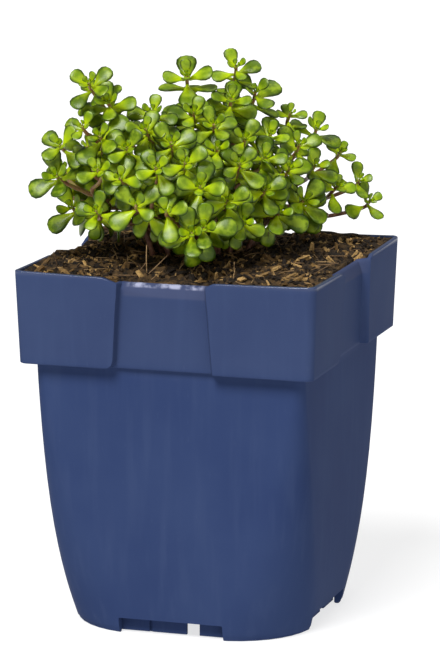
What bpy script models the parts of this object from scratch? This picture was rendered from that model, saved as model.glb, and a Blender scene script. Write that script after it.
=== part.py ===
"""Potted sedum: a square blue nursery pot, its potting soil, and the leafy stems rooted in it.

The origin is on the ground under the middle of the pot, +Z is up and the pot's front wall faces -Y.
Lengths are written in millimetres and turned to metres where a mesh is made.
"""

import math
import random

import bmesh
import bpy
import numpy as np
from mathutils import Matrix, Vector, geometry, noise
from mathutils.bvhtree import BVHTree

MM = 0.001
UP = Vector((0.0, 0.0, 1.0))
CLEARANCE = 0.35

# Pot: outside sizes, half widths measured from the pot's axis
POT_HEIGHT = 107.0
RIM_HALF = 45.0
COLLAR_HEIGHT = 27.2
COLLAR_FOOT_HALF = 44.0
COLLAR_CORNER = 2.6
BODY_TOP_HALF = 40.3
BODY_FOOT_HALF = 35.9
BODY_CURVE = 3.6
BODY_TOP_CORNER = 3.0
BODY_FOOT_CORNER = 23.5
CORNER_CURVE = 1.2
WALL = 1.2
COLLAR_Z = POT_HEIGHT - COLLAR_HEIGHT

# Collar: the middle panel of each side is pressed in, and the rim sags between its corners
RECESS_DEPTH = 2.3
RECESS_DEPTH_AT_RIM = 3.2
RECESS_LEFT_TOP = -13.0
RECESS_LEFT_FOOT = -14.8
RECESS_RIGHT_TOP = 11.6
RECESS_RIGHT_FOOT = 13.4
LEFT_STEP = 0.6
RIGHT_STEP = 1.3
STEP_OFFSET = 0.6
RECESS_SCOOP = 3.7
RIM_SAG = 0.6
RIM_DIP = 1.5

# Foot: a skirt under a raised floor, notched on each side, with a rib behind the notch
FLOOR_UNDERSIDE = 4.9
FLOOR_TOP = 6.2
SKIRT_WALL = 1.9
FOOT_ROLL = 0.5
NOTCH_LEFT = -16.4
NOTCH_RIGHT = 15.2
NOTCH_HEIGHT = 4.8
RIB_SETBACK = 3.0
RIB_WALL = 1.2
RIB_LIFT = 0.3
RIB_SLOT = (3.2, 7.2)
RIB_GROOVE = (-8.1, -7.2)
RIB_GROOVE_DEPTH = 0.5
DRAIN_RADIUS = 4.0
DRAIN_PLACE = 17.0

OUTSIDE_HEIGHTS = (4.0, 11.0, 22.0, 38.0, 58.0, COLLAR_Z)
INSIDE_HEIGHTS = (30.0,)
ARC_STEPS = 4
PANEL_MIDDLE = 28.0
BODY_TOP_FLAT = BODY_TOP_HALF - BODY_TOP_CORNER
FLAT_STATIONS = (
    -PANEL_MIDDLE / BODY_TOP_FLAT,
    (RECESS_LEFT_FOOT - LEFT_STEP) / BODY_TOP_FLAT,
    RECESS_LEFT_FOOT / BODY_TOP_FLAT,
    0.0,
    RECESS_RIGHT_FOOT / BODY_TOP_FLAT,
    (RECESS_RIGHT_FOOT + RIGHT_STEP) / BODY_TOP_FLAT,
    PANEL_MIDDLE / BODY_TOP_FLAT,
)

# Soil
SOIL_EDGE_DROP = 0.9
SOIL_MOUND = 1.6
SOIL_BUMP = 1.3
SOIL_BUMPS_PER_MM = 0.11
SOIL_ROUGHNESS = 0.8
SOIL_OCTAVES = 3
SOIL_HEAP = 1.3
HEAP_SPREAD = 0.8
HEAP_START = 0.4
SOIL_EDGE_POWER = 6
SOIL_EDGE_CALM = 0.7
SOIL_GRAIN = 9.2
SOIL_SHAKE = 0.3
SOIL_EDGE_GAP = 7.45
SOIL_SEED = Vector((3.1, 7.4, 1.9))
HOLE_DEPTH = 8.0
HOLE_SIDES = 6
HOLE_PLAY = 0.2

# Sedum: how the shoots read from the front, a little from the right and from above
VIEW_TURN = math.radians(17.75)
VIEW_TILT = math.radians(11.24)
VIEW_DISTANCE = 1200.0
CROWN = Vector((-1.5, -1.5, POT_HEIGHT - 6.0))
ROOT_REACH = 0.3
ROOT_SPACING = 4.4
ROOT_ROUNDS = 60
ROOT_RADIUS = 0.8
BRANCH_RADIUS = 0.68
STEM_RISE = 1.6
TIP_RADIUS = 0.6
STEM_SIDES = 4
LEAN_OUT = 0.55
LEAN_UP = 0.35
LEAN_ASIDE = 0.9
SEED = 7

# Each leafy stem is a list of shoots, the main one first. A shoot is how far its tip lies across
# from the pot's axis, how far over the rim, how far before the clump's long diagonal, the length of
# its largest leaves, and the turn of its leaf pairs in degrees.
LEAFY_STEMS = (
    ((-35.5, 49, -3, 8.0, 120), (-30, 43.5, 0, 8.5, 165), (-37.5, 36.5, 4, 6.5, 20)),
    ((-44, 31, 0, 8.0, 35), (-32.5, 33.5, 6, 9.5, 130)),
    ((-45, 22, -0.5, 10.0, 155), (-33, 23.5, 12, 8.0, 50)),
    ((-40.5, 13, -9, 9.5, 140), (-33.5, 11.5, 12, 8.0, 10)),
    ((-24.5, 30, 14, 8.5, 40), (-26.5, 21, 18, 8.5, 100)),
    ((-17, 41, 4, 7.5, 10), (-19, 35.5, 13, 8.0, 100), (-11.5, 31.5, 20, 8.5, 140)),
    ((-22, 13, 24, 9.5, 135), (-16, 24, 24, 8.0, 60)),
    ((-13, 11, 30, 9.0, 80), (-5.5, 5, 33, 9.5, 170)),
    ((-7, 51.5, -2, 9.5, 85), (-5, 40.5, 8, 8.0, 20), (1, 37, 14, 8.0, 150)),
    ((7.5, 54.5, -4, 7.5, 165), (6, 45, 4, 8.0, 100), (13, 47, -2, 9.5, 150)),
    ((10, 33, 14, 8.5, 30), (17.5, 34.5, 6, 8.0, 110), (2, 30, 20, 8.5, 5)),
    ((31, 36.5, -2, 8.5, 30), (23.5, 41, -4, 6.0, 95), (26, 31.5, 6, 8.5, 75)),
    ((-7.5, 25.5, 26, 8.5, 60), (-3, 18.5, 31, 9.0, 100)),
    ((8.5, 25.5, 23, 8.5, 45), (16, 27.5, 17, 8.5, 100)),
    ((5, 14.5, 32, 9.0, 70), (-2, 6.5, 35, 9.5, 175), (9.5, 8.5, 31, 7.5, 20)),
    ((23, 24.5, 14, 9.0, 165), (16, 18, 24, 8.5, 65), (20, 11.5, 22, 9.5, 20)),
    ((38, 30, -4, 7.0, 130), (30.5, 25.5, 4, 8.5, 20)),
    ((43.5, 21.5, -3, 8.0, 10), (37, 19.5, 3, 8.0, 100)),
    ((46.5, 15.5, -2, 8.5, 168), (27.5, 15.5, 12, 9.5, 50)),
)

# The unseen side repeats the seen one behind the long diagonal, a little lower and closer in
BACK_FROM_FRONT = 13.0
BACK_ALONG = 0.92
BACK_RISE = 0.9
BACK_SHIFT = 5.0
BACK_SHOOTS_PER_STEM = 3
BACK_FROM_MIDDLE = -9.0

# Leaf pairs of one shoot, from the tip down: distance from the tip, tilt from the stem's axis,
# share of the largest leaf's length
LEAF_PAIRS = ((0.7, 38.0, 0.55), (2.0, 60.0, 0.85), (3.8, 78.0, 1.0))
LEAF_WIDTH = 0.62
LEAF_THICKNESS = 1.3
PETIOLE_WIDTH = 0.75
LEAF_ROOT = 0.2
LEAF_DROOP = 0.1
LARGE_LEAF = ((0.0, 0.0, 0.6), (0.66, 1.0, 1.0), (1.0, 0.46, 0.55))
SMALL_LEAF = ((0.0, 0.0, 0.6), (0.64, 1.04, 1.0))
LEAF_SIZES = (0.9, 1.06)
LEAF_TURN_PLAY = 0.3
LEAF_TILT_PLAY = 14.0
LEAF_TRIES = 14
LAST_TRIES = 0.7
LAST_SIZE = 0.8
PLANT_HALF = RIM_HALF - 0.3
NEAR_RIM = RIM_HALF - 6.0

# Routes of the stems: how far the curve's ends pull, and how far a blocked one may be bent
CURVE_PULL = 0.36
SHOOT_LENGTH = 5.0
ROUTE_TRIES = 120
ROUTE_BEND = 1.6
ARRIVAL_BEND = 0.6
STEM_SPACING = 2.3


def remove_everything():
    for thing in list(bpy.data.objects):
        bpy.data.objects.remove(thing)


def make_material(name, colour, roughness, metallic=0.0):
    material = bpy.data.materials.new(name)
    material.use_nodes = True
    shader = material.node_tree.nodes["Principled BSDF"]
    shader.inputs["Base Color"].default_value = (*colour, 1.0)
    shader.inputs["Roughness"].default_value = roughness
    shader.inputs["Metallic"].default_value = metallic
    return material


def add_object(name, points, faces, material=None):
    """An object from points in millimetres, its faces turned outwards."""
    mesh = bpy.data.meshes.new(name)
    mesh.from_pydata([Vector(p) * MM for p in points], [], faces)
    shape = bmesh.new()
    shape.from_mesh(mesh)
    bmesh.ops.recalc_face_normals(shape, faces=shape.faces)
    shape.to_mesh(mesh)
    shape.free()
    if material:
        mesh.materials.append(material)
    thing = bpy.data.objects.new(name, mesh)
    bpy.context.collection.objects.link(thing)
    return thing


def add_block(name, low, high):
    corners = [(x, y, z) for x in (low[0], high[0]) for y in (low[1], high[1]) for z in (low[2], high[2])]
    faces = [(0, 1, 3, 2), (4, 6, 7, 5), (0, 4, 5, 1), (2, 3, 7, 6), (0, 2, 6, 4), (1, 5, 7, 3)]
    return add_object(name, corners, faces)


def add_post(name, x, y, low, high, radius, sides):
    bpy.ops.mesh.primitive_cylinder_add(
        vertices=sides,
        radius=radius * MM,
        depth=(high - low) * MM,
        location=(x * MM, y * MM, (low + high) / 2 * MM),
    )
    post = bpy.context.object
    post.name = name
    return post


def apply_boolean(target, tools, operation, solver="EXACT"):
    """Join or cut the target with every tool at once, then remove the tools."""
    group = bpy.data.collections.new("tools of " + target.name)
    for tool in tools:
        group.objects.link(tool)
    boolean = target.modifiers.new("boolean", "BOOLEAN")
    boolean.operand_type = "COLLECTION"
    boolean.collection = group
    boolean.operation = operation
    boolean.solver = solver
    graph = bpy.context.evaluated_depsgraph_get()
    joined = bpy.data.meshes.new_from_object(target.evaluated_get(graph))
    target.modifiers.clear()
    target.data = joined
    for tool in tools:
        bpy.data.objects.remove(tool)
    bpy.data.collections.remove(group)


def bridge_rings(rings, close_start=True, close_end=True):
    """Points and faces of a tube through rings of equal length, with flat ends."""
    count = len(rings[0])
    points = [point for ring in rings for point in ring]
    faces = []
    for level in range(len(rings) - 1):
        for i in range(count):
            a = level * count + i
            b = level * count + (i + 1) % count
            faces.append((a, b, b + count, a + count))
    if close_start:
        faces.append(tuple(range(count)))
    if close_end:
        last = (len(rings) - 1) * count
        faces.append(tuple(last + i for i in range(count)))
    return points, faces


# The pot's outline at each height

def foot_share(z):
    return (COLLAR_Z - min(z, COLLAR_Z)) / COLLAR_Z


def body_half(z):
    return BODY_TOP_HALF - (BODY_TOP_HALF - BODY_FOOT_HALF) * foot_share(z) ** BODY_CURVE


def body_corner(z):
    return BODY_TOP_CORNER + (BODY_FOOT_CORNER - BODY_TOP_CORNER) * foot_share(z) ** CORNER_CURVE


def rim_height(along, recessed=None):
    """Height of the rim at a distance along a side from its middle, lower over the recess."""
    if recessed is None:
        recessed = RECESS_LEFT_TOP - WALL <= along <= RECESS_RIGHT_TOP + WALL
    sag = RIM_SAG * (1.0 - min(abs(along) / RIM_HALF, 1.0) ** 2)
    return POT_HEIGHT - sag - RIM_DIP * recessed


def place_on_side(side, along, out, z):
    """A point along a side and out from the axis, on side 0 (front) to 3, going anticlockwise."""
    turn = Matrix.Rotation(side * math.pi / 2, 3, "Z")
    return turn @ Vector((along, -out, z))


def corner_arc(side, half, corner, z):
    """Points round the corner at the end of a side, without its two end points."""
    points = []
    centre = half - corner
    for step in range(1, ARC_STEPS):
        angle = step / ARC_STEPS * math.pi / 2
        along = centre + corner * math.sin(angle)
        out = centre + corner * math.cos(angle)
        points.append(place_on_side(side, along, out, z(along)))
    return points


def body_ring(z, inset=0.0):
    half = body_half(z) - inset
    corner = max(body_corner(z) - inset, 1.0)
    flat = half - corner
    points = []
    for side in range(4):
        for share in (-1.0, *FLAT_STATIONS, 1.0):
            points.append(place_on_side(side, share * flat, half, z))
        points += corner_arc(side, half, corner, lambda along: z)
    return points


def collar_ring(rise, inset=0.0, recess=RECESS_DEPTH, drop=None):
    """Outline of the collar at a share of its height, or a drop below the rim where one is given."""
    half = COLLAR_FOOT_HALF + (RIM_HALF - COLLAR_FOOT_HALF) * rise - inset
    corner = max(COLLAR_CORNER - inset, 0.8)
    left = RECESS_LEFT_FOOT + (RECESS_LEFT_TOP - RECESS_LEFT_FOOT) * rise - inset * STEP_OFFSET
    right = RECESS_RIGHT_FOOT + (RECESS_RIGHT_TOP - RECESS_RIGHT_FOOT) * rise + inset * STEP_OFFSET

    def height(along, depth=0.0):
        if drop is None:
            return COLLAR_Z + rise * COLLAR_HEIGHT
        return rim_height(along, depth > 0.0) - drop

    stations = (
        (-(half - corner), 0.0),
        (-PANEL_MIDDLE, 0.0),
        (left - LEFT_STEP, 0.0),
        (left, recess),
        (0.0, recess),
        (right, recess),
        (right + RIGHT_STEP, 0.0),
        (PANEL_MIDDLE, 0.0),
        (half - corner, 0.0),
    )
    points = []
    for side in range(4):
        for along, depth in stations:
            points.append(place_on_side(side, along, half - depth, height(along, depth)))
        points += corner_arc(side, half, corner, height)
    return points


def raise_ring(points, z):
    return [Vector((p.x, p.y, z)) for p in points]


def build_pot():
    """One moulded wall: under the floor, down the skirt, up the outside, over the rim, down inside."""
    scoop = 1.0 - RECESS_SCOOP / COLLAR_HEIGHT
    ledge = COLLAR_Z + WALL
    rings = [
        raise_ring(body_ring(0.0, SKIRT_WALL), FLOOR_UNDERSIDE),
        body_ring(0.0, SKIRT_WALL),
        body_ring(0.0, FOOT_ROLL),
        raise_ring(body_ring(0.0), 0.9),
    ]
    rings += [body_ring(z) for z in OUTSIDE_HEIGHTS]
    rings += [
        collar_ring(0.0),
        collar_ring(scoop, drop=RECESS_SCOOP),
        collar_ring(1.0, recess=RECESS_DEPTH_AT_RIM, drop=0.0),
        collar_ring(1.0, WALL, RECESS_DEPTH_AT_RIM, drop=0.0),
        collar_ring(scoop, WALL, drop=RECESS_SCOOP),
        raise_ring(collar_ring(0.0, WALL), ledge),
        raise_ring(body_ring(COLLAR_Z, WALL), ledge),
    ]
    rings += [body_ring(z, WALL) for z in reversed(INSIDE_HEIGHTS)]
    rings.append(raise_ring(body_ring(FLOOR_TOP, WALL), FLOOR_TOP))
    plastic = make_material("blue pot plastic", (0.042, 0.063, 0.175), 0.42)
    pot = add_object("pot", *bridge_rings(rings), plastic)

    cutters = []
    ribs = []
    rib_out = BODY_FOOT_HALF - RIB_SETBACK
    for side in range(4):
        notch = add_block(
            "notch", (NOTCH_LEFT, -BODY_FOOT_HALF - 5, -1), (NOTCH_RIGHT, -rib_out - 0.4, NOTCH_HEIGHT)
        )
        slot = add_block(
            "rib slot", (RIB_SLOT[0], -rib_out - 1, -1), (RIB_SLOT[1], -rib_out + 4, NOTCH_HEIGHT)
        )
        groove = add_block(
            "rib groove",
            (RIB_GROOVE[0], -rib_out - 1, -1),
            (RIB_GROOVE[1], -rib_out + RIB_GROOVE_DEPTH, NOTCH_HEIGHT),
        )
        rib = add_block(
            "rib",
            (NOTCH_LEFT - 2, -rib_out, RIB_LIFT),
            (NOTCH_RIGHT + 2, -rib_out + RIB_WALL, FLOOR_UNDERSIDE + 0.6),
        )
        for piece in (notch, slot, groove, rib):
            piece.matrix_world = Matrix.Rotation(side * math.pi / 2, 4, "Z")
        cutters += [notch, slot, groove]
        ribs.append(rib)
    for x, y in ((0, 0), (1, 1), (1, -1), (-1, 1), (-1, -1)):
        cutters.append(
            add_post("drain hole", x * DRAIN_PLACE, y * DRAIN_PLACE, 2.0, FLOOR_TOP + 2, DRAIN_RADIUS, 12)
        )
    bpy.context.view_layer.update()
    apply_boolean(pot, ribs, "UNION")
    apply_boolean(pot, cutters, "DIFFERENCE")
    return pot


def smooth_step(share):
    share = min(max(share, 0.0), 1.0)
    return share * share * (3.0 - 2.0 * share)


def soil_height(x, y):
    """Height of the soil: level with the sagging rim, heaped at the left and back, and mounded inside."""
    along = x if abs(y) > abs(x) else y
    reach = min(max(abs(x), abs(y)) / RIM_HALF, 1.0)
    back_left = smooth_step((y - x) / (abs(x) + abs(y) + CLEARANCE) * HEAP_SPREAD + HEAP_START)
    heap = (SOIL_HEAP + POT_HEIGHT - rim_height(along)) * back_left
    edge = rim_height(along) - SOIL_EDGE_DROP + heap
    middle = POT_HEIGHT - SOIL_EDGE_DROP + SOIL_MOUND * (1.0 - reach * reach)
    blend = reach ** SOIL_EDGE_POWER
    place = Vector((x, y, 0.0)) * SOIL_BUMPS_PER_MM + SOIL_SEED
    bump = noise.fractal(place, SOIL_ROUGHNESS, 2.0, SOIL_OCTAVES)
    return edge * blend + middle * (1.0 - blend) + bump * SOIL_BUMP * (1.0 - blend * SOIL_EDGE_CALM)


def soil_surface(edge):
    """A loose net of triangles over the soil, inside its edge: flat points and triangles."""
    draw = random.Random(SEED)
    inner = RIM_HALF - SOIL_EDGE_GAP
    cells = int(2 * inner / SOIL_GRAIN)
    spots = []
    for row in range(cells + 1):
        for column in range(cells + 1):
            x = (column / cells * 2 - 1) * inner
            y = (row / cells * 2 - 1) * inner
            shake = SOIL_GRAIN * SOIL_SHAKE
            spots.append((x + draw.uniform(-shake, shake), y + draw.uniform(-shake, shake)))
    count = len(edge)
    rim = [(i, (i + 1) % count) for i in range(count)]
    flat = [Vector(spot) for spot in (*edge, *spots)]
    net = geometry.delaunay_2d_cdt(flat, rim, [], 1, 0.0001)
    return [tuple(p) for p in net[0]], [list(triangle) for triangle in net[2]]


def build_soil(roots):
    """The fill, a little clear of the pot's wall and floor, with a plain hole for each stem."""
    inset = WALL + CLEARANCE
    ledge = COLLAR_Z + inset
    scoop = 1.0 - RECESS_SCOOP / COLLAR_HEIGHT
    rings = [raise_ring(body_ring(FLOOR_TOP, inset), FLOOR_TOP + CLEARANCE)]
    rings += [body_ring(z, inset) for z in INSIDE_HEIGHTS]
    rings += [
        raise_ring(body_ring(COLLAR_Z, inset), ledge),
        raise_ring(collar_ring(0.0, inset), ledge),
        collar_ring(scoop, inset, drop=RECESS_SCOOP),
    ]
    edge = [Vector((p.x, p.y, soil_height(p.x, p.y))) for p in collar_ring(1.0, inset, RECESS_DEPTH_AT_RIM, 0.0)]
    rings.append(edge)
    points, faces = bridge_rings(rings, close_end=False)
    count = len(edge)
    first = len(points) - count
    top, triangles = soil_surface([(p.x, p.y) for p in edge])
    points += [Vector((x, y, soil_height(x, y))) for x, y in top[count:]]
    faces += [[first + i for i in triangle] for triangle in triangles]
    peat = make_material("potting soil", (0.055, 0.038, 0.022), 0.95)
    soil = add_object("potting_soil", points, faces, peat)
    holes = []
    for root in roots:
        surface = soil_height(root.x, root.y)
        radius = ROOT_RADIUS + CLEARANCE + HOLE_PLAY
        holes.append(
            add_post("stem hole", root.x, root.y, surface - HOLE_DEPTH, surface + 6, radius, HOLE_SIDES)
        )
    apply_boolean(soil, holes, "DIFFERENCE")
    return soil


# The sedum's shoots: where each tip is and how its stem gets there

ALONG = Vector((1.0, 1.0, 0.0)).normalized()
BEFORE = Vector((1.0, -1.0, 0.0)).normalized()
LEVEL = Vector((math.sin(VIEW_TURN), -math.cos(VIEW_TURN), 0.0))


def tip_from_view(across, rise, front):
    """The point on a line of sight that lies a given distance before the clump's long diagonal."""
    right = Vector((math.cos(VIEW_TURN), math.sin(VIEW_TURN), 0.0))
    back = LEVEL * math.cos(VIEW_TILT) + UP * math.sin(VIEW_TILT)
    up = back.cross(right)
    rim_middle = Vector((0.0, 0.0, POT_HEIGHT))
    eye = rim_middle + back * VIEW_DISTANCE
    sight = rim_middle + right * across + up * rise - eye
    return eye + sight * ((front - eye.dot(BEFORE)) / sight.dot(BEFORE))


def list_shoots():
    """The tips of every leafy stem, the seen ones from the table and the unseen ones by rule."""
    draw = random.Random(SEED)
    stems = []
    behind = []
    for rows in LEAFY_STEMS:
        shoots = []
        for across, rise, front, length, turn in rows:
            tip = tip_from_view(across, rise, front)
            shoots.append((tip, length, math.radians(turn)))
            if front > BACK_FROM_FRONT:
                shift = draw.uniform(-BACK_SHIFT, BACK_SHIFT)
                along = tip.dot(ALONG) * BACK_ALONG + shift
                height = POT_HEIGHT + (tip.z - POT_HEIGHT) * BACK_RISE
                hidden = ALONG * along - BEFORE * tip.dot(BEFORE) + UP * height
                behind.append((hidden, length, math.radians(turn + 45.0)))
        stems.append(shoots)
    behind.sort(key=lambda shoot: math.atan2(shoot[0].z - POT_HEIGHT, shoot[0].dot(ALONG)))
    for first in range(0, len(behind), BACK_SHOOTS_PER_STEM):
        stems.append(behind[first:first + BACK_SHOOTS_PER_STEM])
    return stems


def place_roots(stems):
    """Where each stem leaves the soil: close round the crown, pushed apart until there is room."""
    roots = []
    for shoots in stems:
        middle = sum((tip for tip, length, turn in shoots), Vector()) / len(shoots)
        roots.append(CROWN + (middle - CROWN) * ROOT_REACH)
    for _ in range(ROOT_ROUNDS):
        for i, one in enumerate(roots):
            for other in roots[:i]:
                apart = Vector((one.x - other.x, one.y - other.y, 0.0))
                lack = ROOT_SPACING - apart.length
                if lack > 0:
                    push = apart.normalized() * lack / 2
                    one += push
                    other -= push
    return [Vector((root.x, root.y, 0.0)) for root in roots]


def curve_points(start, start_way, end, end_way, steps):
    """Points on a smooth curve that leaves one end and reaches the other in the given directions."""
    length = (end - start).length
    first = start + start_way * length * CURVE_PULL
    second = end - end_way * length * CURVE_PULL
    points = []
    for step in range(steps + 1):
        t = step / steps
        s = 1.0 - t
        points.append(start * s ** 3 + first * 3 * s * s * t + second * 3 * s * t * t + end * t ** 3)
    return points


def sample_line(points, spacing=1.0):
    """Points at close spacing along a run of straight stretches."""
    samples = []
    for a, b in zip(points, points[1:]):
        count = max(int((b - a).length / spacing), 1)
        samples += [a.lerp(b, i / count) for i in range(count)]
    samples.append(points[-1])
    return samples


def route_is_clear(points, stem, taken):
    """Whether a stem keeps off the soil, the pot and every other plant's stems."""
    samples = sample_line(points)
    for p in samples:
        if p.z < soil_height(p.x, p.y) + ROOT_RADIUS + CLEARANCE:
            return False
    mine = np.array([tuple(p) for p in samples])
    for owner, theirs in taken:
        if owner == stem:
            continue
        gaps = np.linalg.norm(mine[:, None, :] - theirs[None, :, :], axis=2)
        if gaps.min() < STEM_SPACING:
            return False
    return True


def find_route(start, start_way, end, end_way, stem, taken, draw):
    """A curved route between two points, bent until it is clear of the other stems."""
    steps = 3 if (end - start).length > 18 else 2
    for attempt in range(ROUTE_TRIES):
        wobble = Vector((draw.uniform(-1, 1), draw.uniform(-1, 1), draw.uniform(-0.6, 1)))
        wobble *= ROUTE_BEND * attempt / ROUTE_TRIES
        leave = (start_way + wobble).normalized()
        arrive = (end_way + wobble * ARRIVAL_BEND).normalized()
        points = curve_points(start, leave, end - arrive * SHOOT_LENGTH, arrive, steps) + [end]
        if route_is_clear(points[1:], stem, taken):
            return points
    print("no clear route to", tuple(round(v) for v in end), "of stem", stem)
    return points


def shoot_way(tip):
    """The way a shoot points: out from the crown, up, and away from the clump's long diagonal."""
    out = (tip - CROWN).normalized()
    aside = LEVEL if tip.dot(BEFORE) > BACK_FROM_MIDDLE else -LEVEL
    return (out * LEAN_OUT + UP * LEAN_UP + aside * LEAN_ASIDE).normalized()


def plan_stems(stems, roots):
    """Routes of every stem and branch, main stems first: stem, points, radius at the start, shoot."""
    draw = random.Random(SEED + 1)
    routes = []
    taken = []
    mains = {}
    shafts = []
    for index, root in enumerate(roots):
        surface = soil_height(root.x, root.y)
        bottom = Vector((root.x, root.y, surface - HOLE_DEPTH + CLEARANCE))
        mouth = Vector((root.x, root.y, surface + STEM_RISE))
        shafts.append((bottom, mouth))
        taken.append((index, np.array([tuple(p) for p in sample_line([bottom, mouth])])))
    for index, (shoots, (bottom, mouth)) in enumerate(zip(stems, shafts)):
        tip = shoots[0][0]
        route = find_route(mouth, UP, tip, shoot_way(tip), index, taken, draw)
        mains[index] = route
        routes.append((index, [bottom] + route, ROOT_RADIUS, shoots[0]))
        taken.append((index, np.array([tuple(p) for p in sample_line(route)])))
    for index, shoots in enumerate(stems):
        main = mains[index]
        for number, shoot in enumerate(shoots[1:]):
            tip = shoot[0]
            at = 2 if number == 0 and len(main) > 4 else 1
            leave = (main[at + 1] - main[at]).normalized()
            route = find_route(main[at], leave, tip, shoot_way(tip), index, taken, draw)
            routes.append((index, route, BRANCH_RADIUS, shoot))
            taken.append((index, np.array([tuple(p) for p in sample_line(route)])))
    return routes


def side_ways(way):
    """Two directions square to a direction and to each other."""
    side = way.cross(UP)
    side = side.normalized() if side.length > 0.05 else Vector((1.0, 0.0, 0.0))
    return side, side.cross(way).normalized()


def stem_shape(points, start_radius, turn):
    """A tapering four-sided stem, its sides facing the way its leaves leave it."""
    rings = []
    count = len(points)
    for i, point in enumerate(points):
        before = points[max(i - 1, 0)]
        after = points[min(i + 1, count - 1)]
        side, other = side_ways((after - before).normalized())
        radius = start_radius + (TIP_RADIUS - start_radius) * i / (count - 1)
        ring = []
        for k in range(STEM_SIDES):
            angle = turn + (k + 0.5) * 2 * math.pi / STEM_SIDES
            ring.append(point + side * radius * math.cos(angle) + other * radius * math.sin(angle))
        rings.append(ring)
    return bridge_rings(rings)


def leaf_shape(leaf, swell=0.0, start=0.0):
    """A fleshy spoon-shaped leaf, flat above with a keel below, that ends in a point."""
    base, way, face, length, width, sections = leaf
    side = way.cross(face).normalized()
    rings = []
    for share, breadth, thickness in sections:
        share = max(share, start)
        half = (width * breadth if breadth else PETIOLE_WIDTH) / 2 + swell * 1.5
        deep = LEAF_THICKNESS * thickness
        middle = base + way * length * share - face * length * LEAF_DROOP * share * share
        top = middle + face * (deep * 0.35 + swell)
        rings.append([top - side * half, top + side * half, middle - face * (deep * 0.65 + swell * 2)])
    if sections[-1][0] == 1.0:
        return bridge_rings(rings)
    points, faces = bridge_rings(rings, close_end=False)
    last = len(points) - 3
    points.append(base + way * (length + swell) - face * length * LEAF_DROOP)
    faces += [(last + i, last + (i + 1) % 3, last + 3) for i in range(3)]
    return points, faces


def shape_tree(shape):
    points, faces = shape
    return BVHTree.FromPolygons([tuple(p) for p in points], faces)


def shape_box(shape):
    corners = np.array([tuple(p) for p in shape[0]])
    return np.concatenate([corners.min(axis=0), corners.max(axis=0)])


def stays_above_soil(shape):
    """Whether a leaf keeps off the soil and within the pot's outline."""
    for p in shape[0]:
        out = max(abs(p.x), abs(p.y))
        if out > PLANT_HALF:
            return False
        floor = POT_HEIGHT if out > NEAR_RIM else soil_height(p.x, p.y)
        if p.z < floor + CLEARANCE:
            return False
    return True


def count_hits(tree, box, placed, wanted):
    """How many placed shapes a shape crosses, of those whose owner is wanted."""
    hits = 0
    for owner, other_box, other_tree in placed:
        if not wanted(owner):
            continue
        if np.any(box[:3] > other_box[3:]) or np.any(box[3:] < other_box[:3]):
            continue
        if tree.overlap(other_tree):
            hits += 1
    return hits


def point_down_route(points, distance):
    """The point and direction at a distance back from a route's tip."""
    left = distance
    for a, b in zip(points[::-1], points[-2::-1]):
        run = (b - a).length
        if left <= run:
            return a.lerp(b, left / run), (a - b).normalized()
        left -= run
    return points[0], (points[1] - points[0]).normalized()


def plan_leaves(routes):
    """Every leaf with its stem's number, each turned until it is clear of the other stems and leaves."""
    draw = random.Random(SEED + 2)
    placed = []
    for number, (index, points, radius, shoot) in enumerate(routes):
        shape = stem_shape(points, radius, shoot[2])
        placed.append(((index, number), shape_box(shape), shape_tree(shape)))
    leaves = []
    for pair, (distance, tilt, share) in enumerate(LEAF_PAIRS):
        for number, (index, points, radius, shoot) in enumerate(routes):
            tip, full_length, turn = shoot
            base, way = point_down_route(points, distance)
            side, other = side_ways(way)
            sections = LARGE_LEAF if pair == len(LEAF_PAIRS) - 1 else SMALL_LEAF
            for half_turn in range(2):
                best = None
                for attempt in range(LEAF_TRIES):
                    loose = 0.25 + attempt / LEAF_TRIES
                    angle = turn + pair * math.pi / 2 + half_turn * math.pi
                    angle += draw.uniform(-LEAF_TURN_PLAY, LEAF_TURN_PLAY) * loose
                    lean = math.radians(tilt + draw.uniform(-LEAF_TILT_PLAY, LEAF_TILT_PLAY) * loose)
                    size = full_length * share * draw.uniform(*LEAF_SIZES)
                    if attempt > LEAF_TRIES * LAST_TRIES:
                        size *= LAST_SIZE
                    out = side * math.cos(angle) + other * math.sin(angle)
                    leaf_way = (way * math.cos(lean) + out * math.sin(lean)).normalized()
                    face = (way * math.sin(lean) - out * math.cos(lean)).normalized()
                    leaf = (base + out * LEAF_ROOT, leaf_way, face, size, size * LEAF_WIDTH, sections)
                    swollen = leaf_shape(leaf, CLEARANCE)
                    if not stays_above_soil(swollen):
                        continue
                    tree = shape_tree(swollen)
                    box = shape_box(swollen)
                    if count_hits(tree, box, placed, lambda owner: owner[0] != index):
                        continue
                    blade = leaf_shape(leaf, 0.0, 0.3)
                    blade_box = shape_box(blade)
                    hits = count_hits(shape_tree(blade), blade_box, placed, lambda owner: owner[0] == index)
                    if best is None or hits < best[0]:
                        best = (hits, leaf)
                    if hits == 0:
                        break
                if best:
                    leaf = best[1]
                    shape = leaf_shape(leaf)
                    leaves.append((index, leaf))
                    placed.append(((index, number), shape_box(shape), shape_tree(shape)))
    return leaves


def keep_largest_body(thing):
    """Take out the small shells that crossing leaves close off inside a stem's one body."""
    shape = bmesh.new()
    shape.from_mesh(thing.data)
    left = set(shape.verts)
    bodies = []
    while left:
        body = [left.pop()]
        for vertex in body:
            for edge in vertex.link_edges:
                other = edge.other_vert(vertex)
                if other in left:
                    left.remove(other)
                    body.append(other)
        bodies.append(body)
    bodies.sort(key=len)
    for body in bodies[:-1]:
        bmesh.ops.delete(shape, geom=body, context="VERTS")
    shape.to_mesh(thing.data)
    shape.free()


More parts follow.
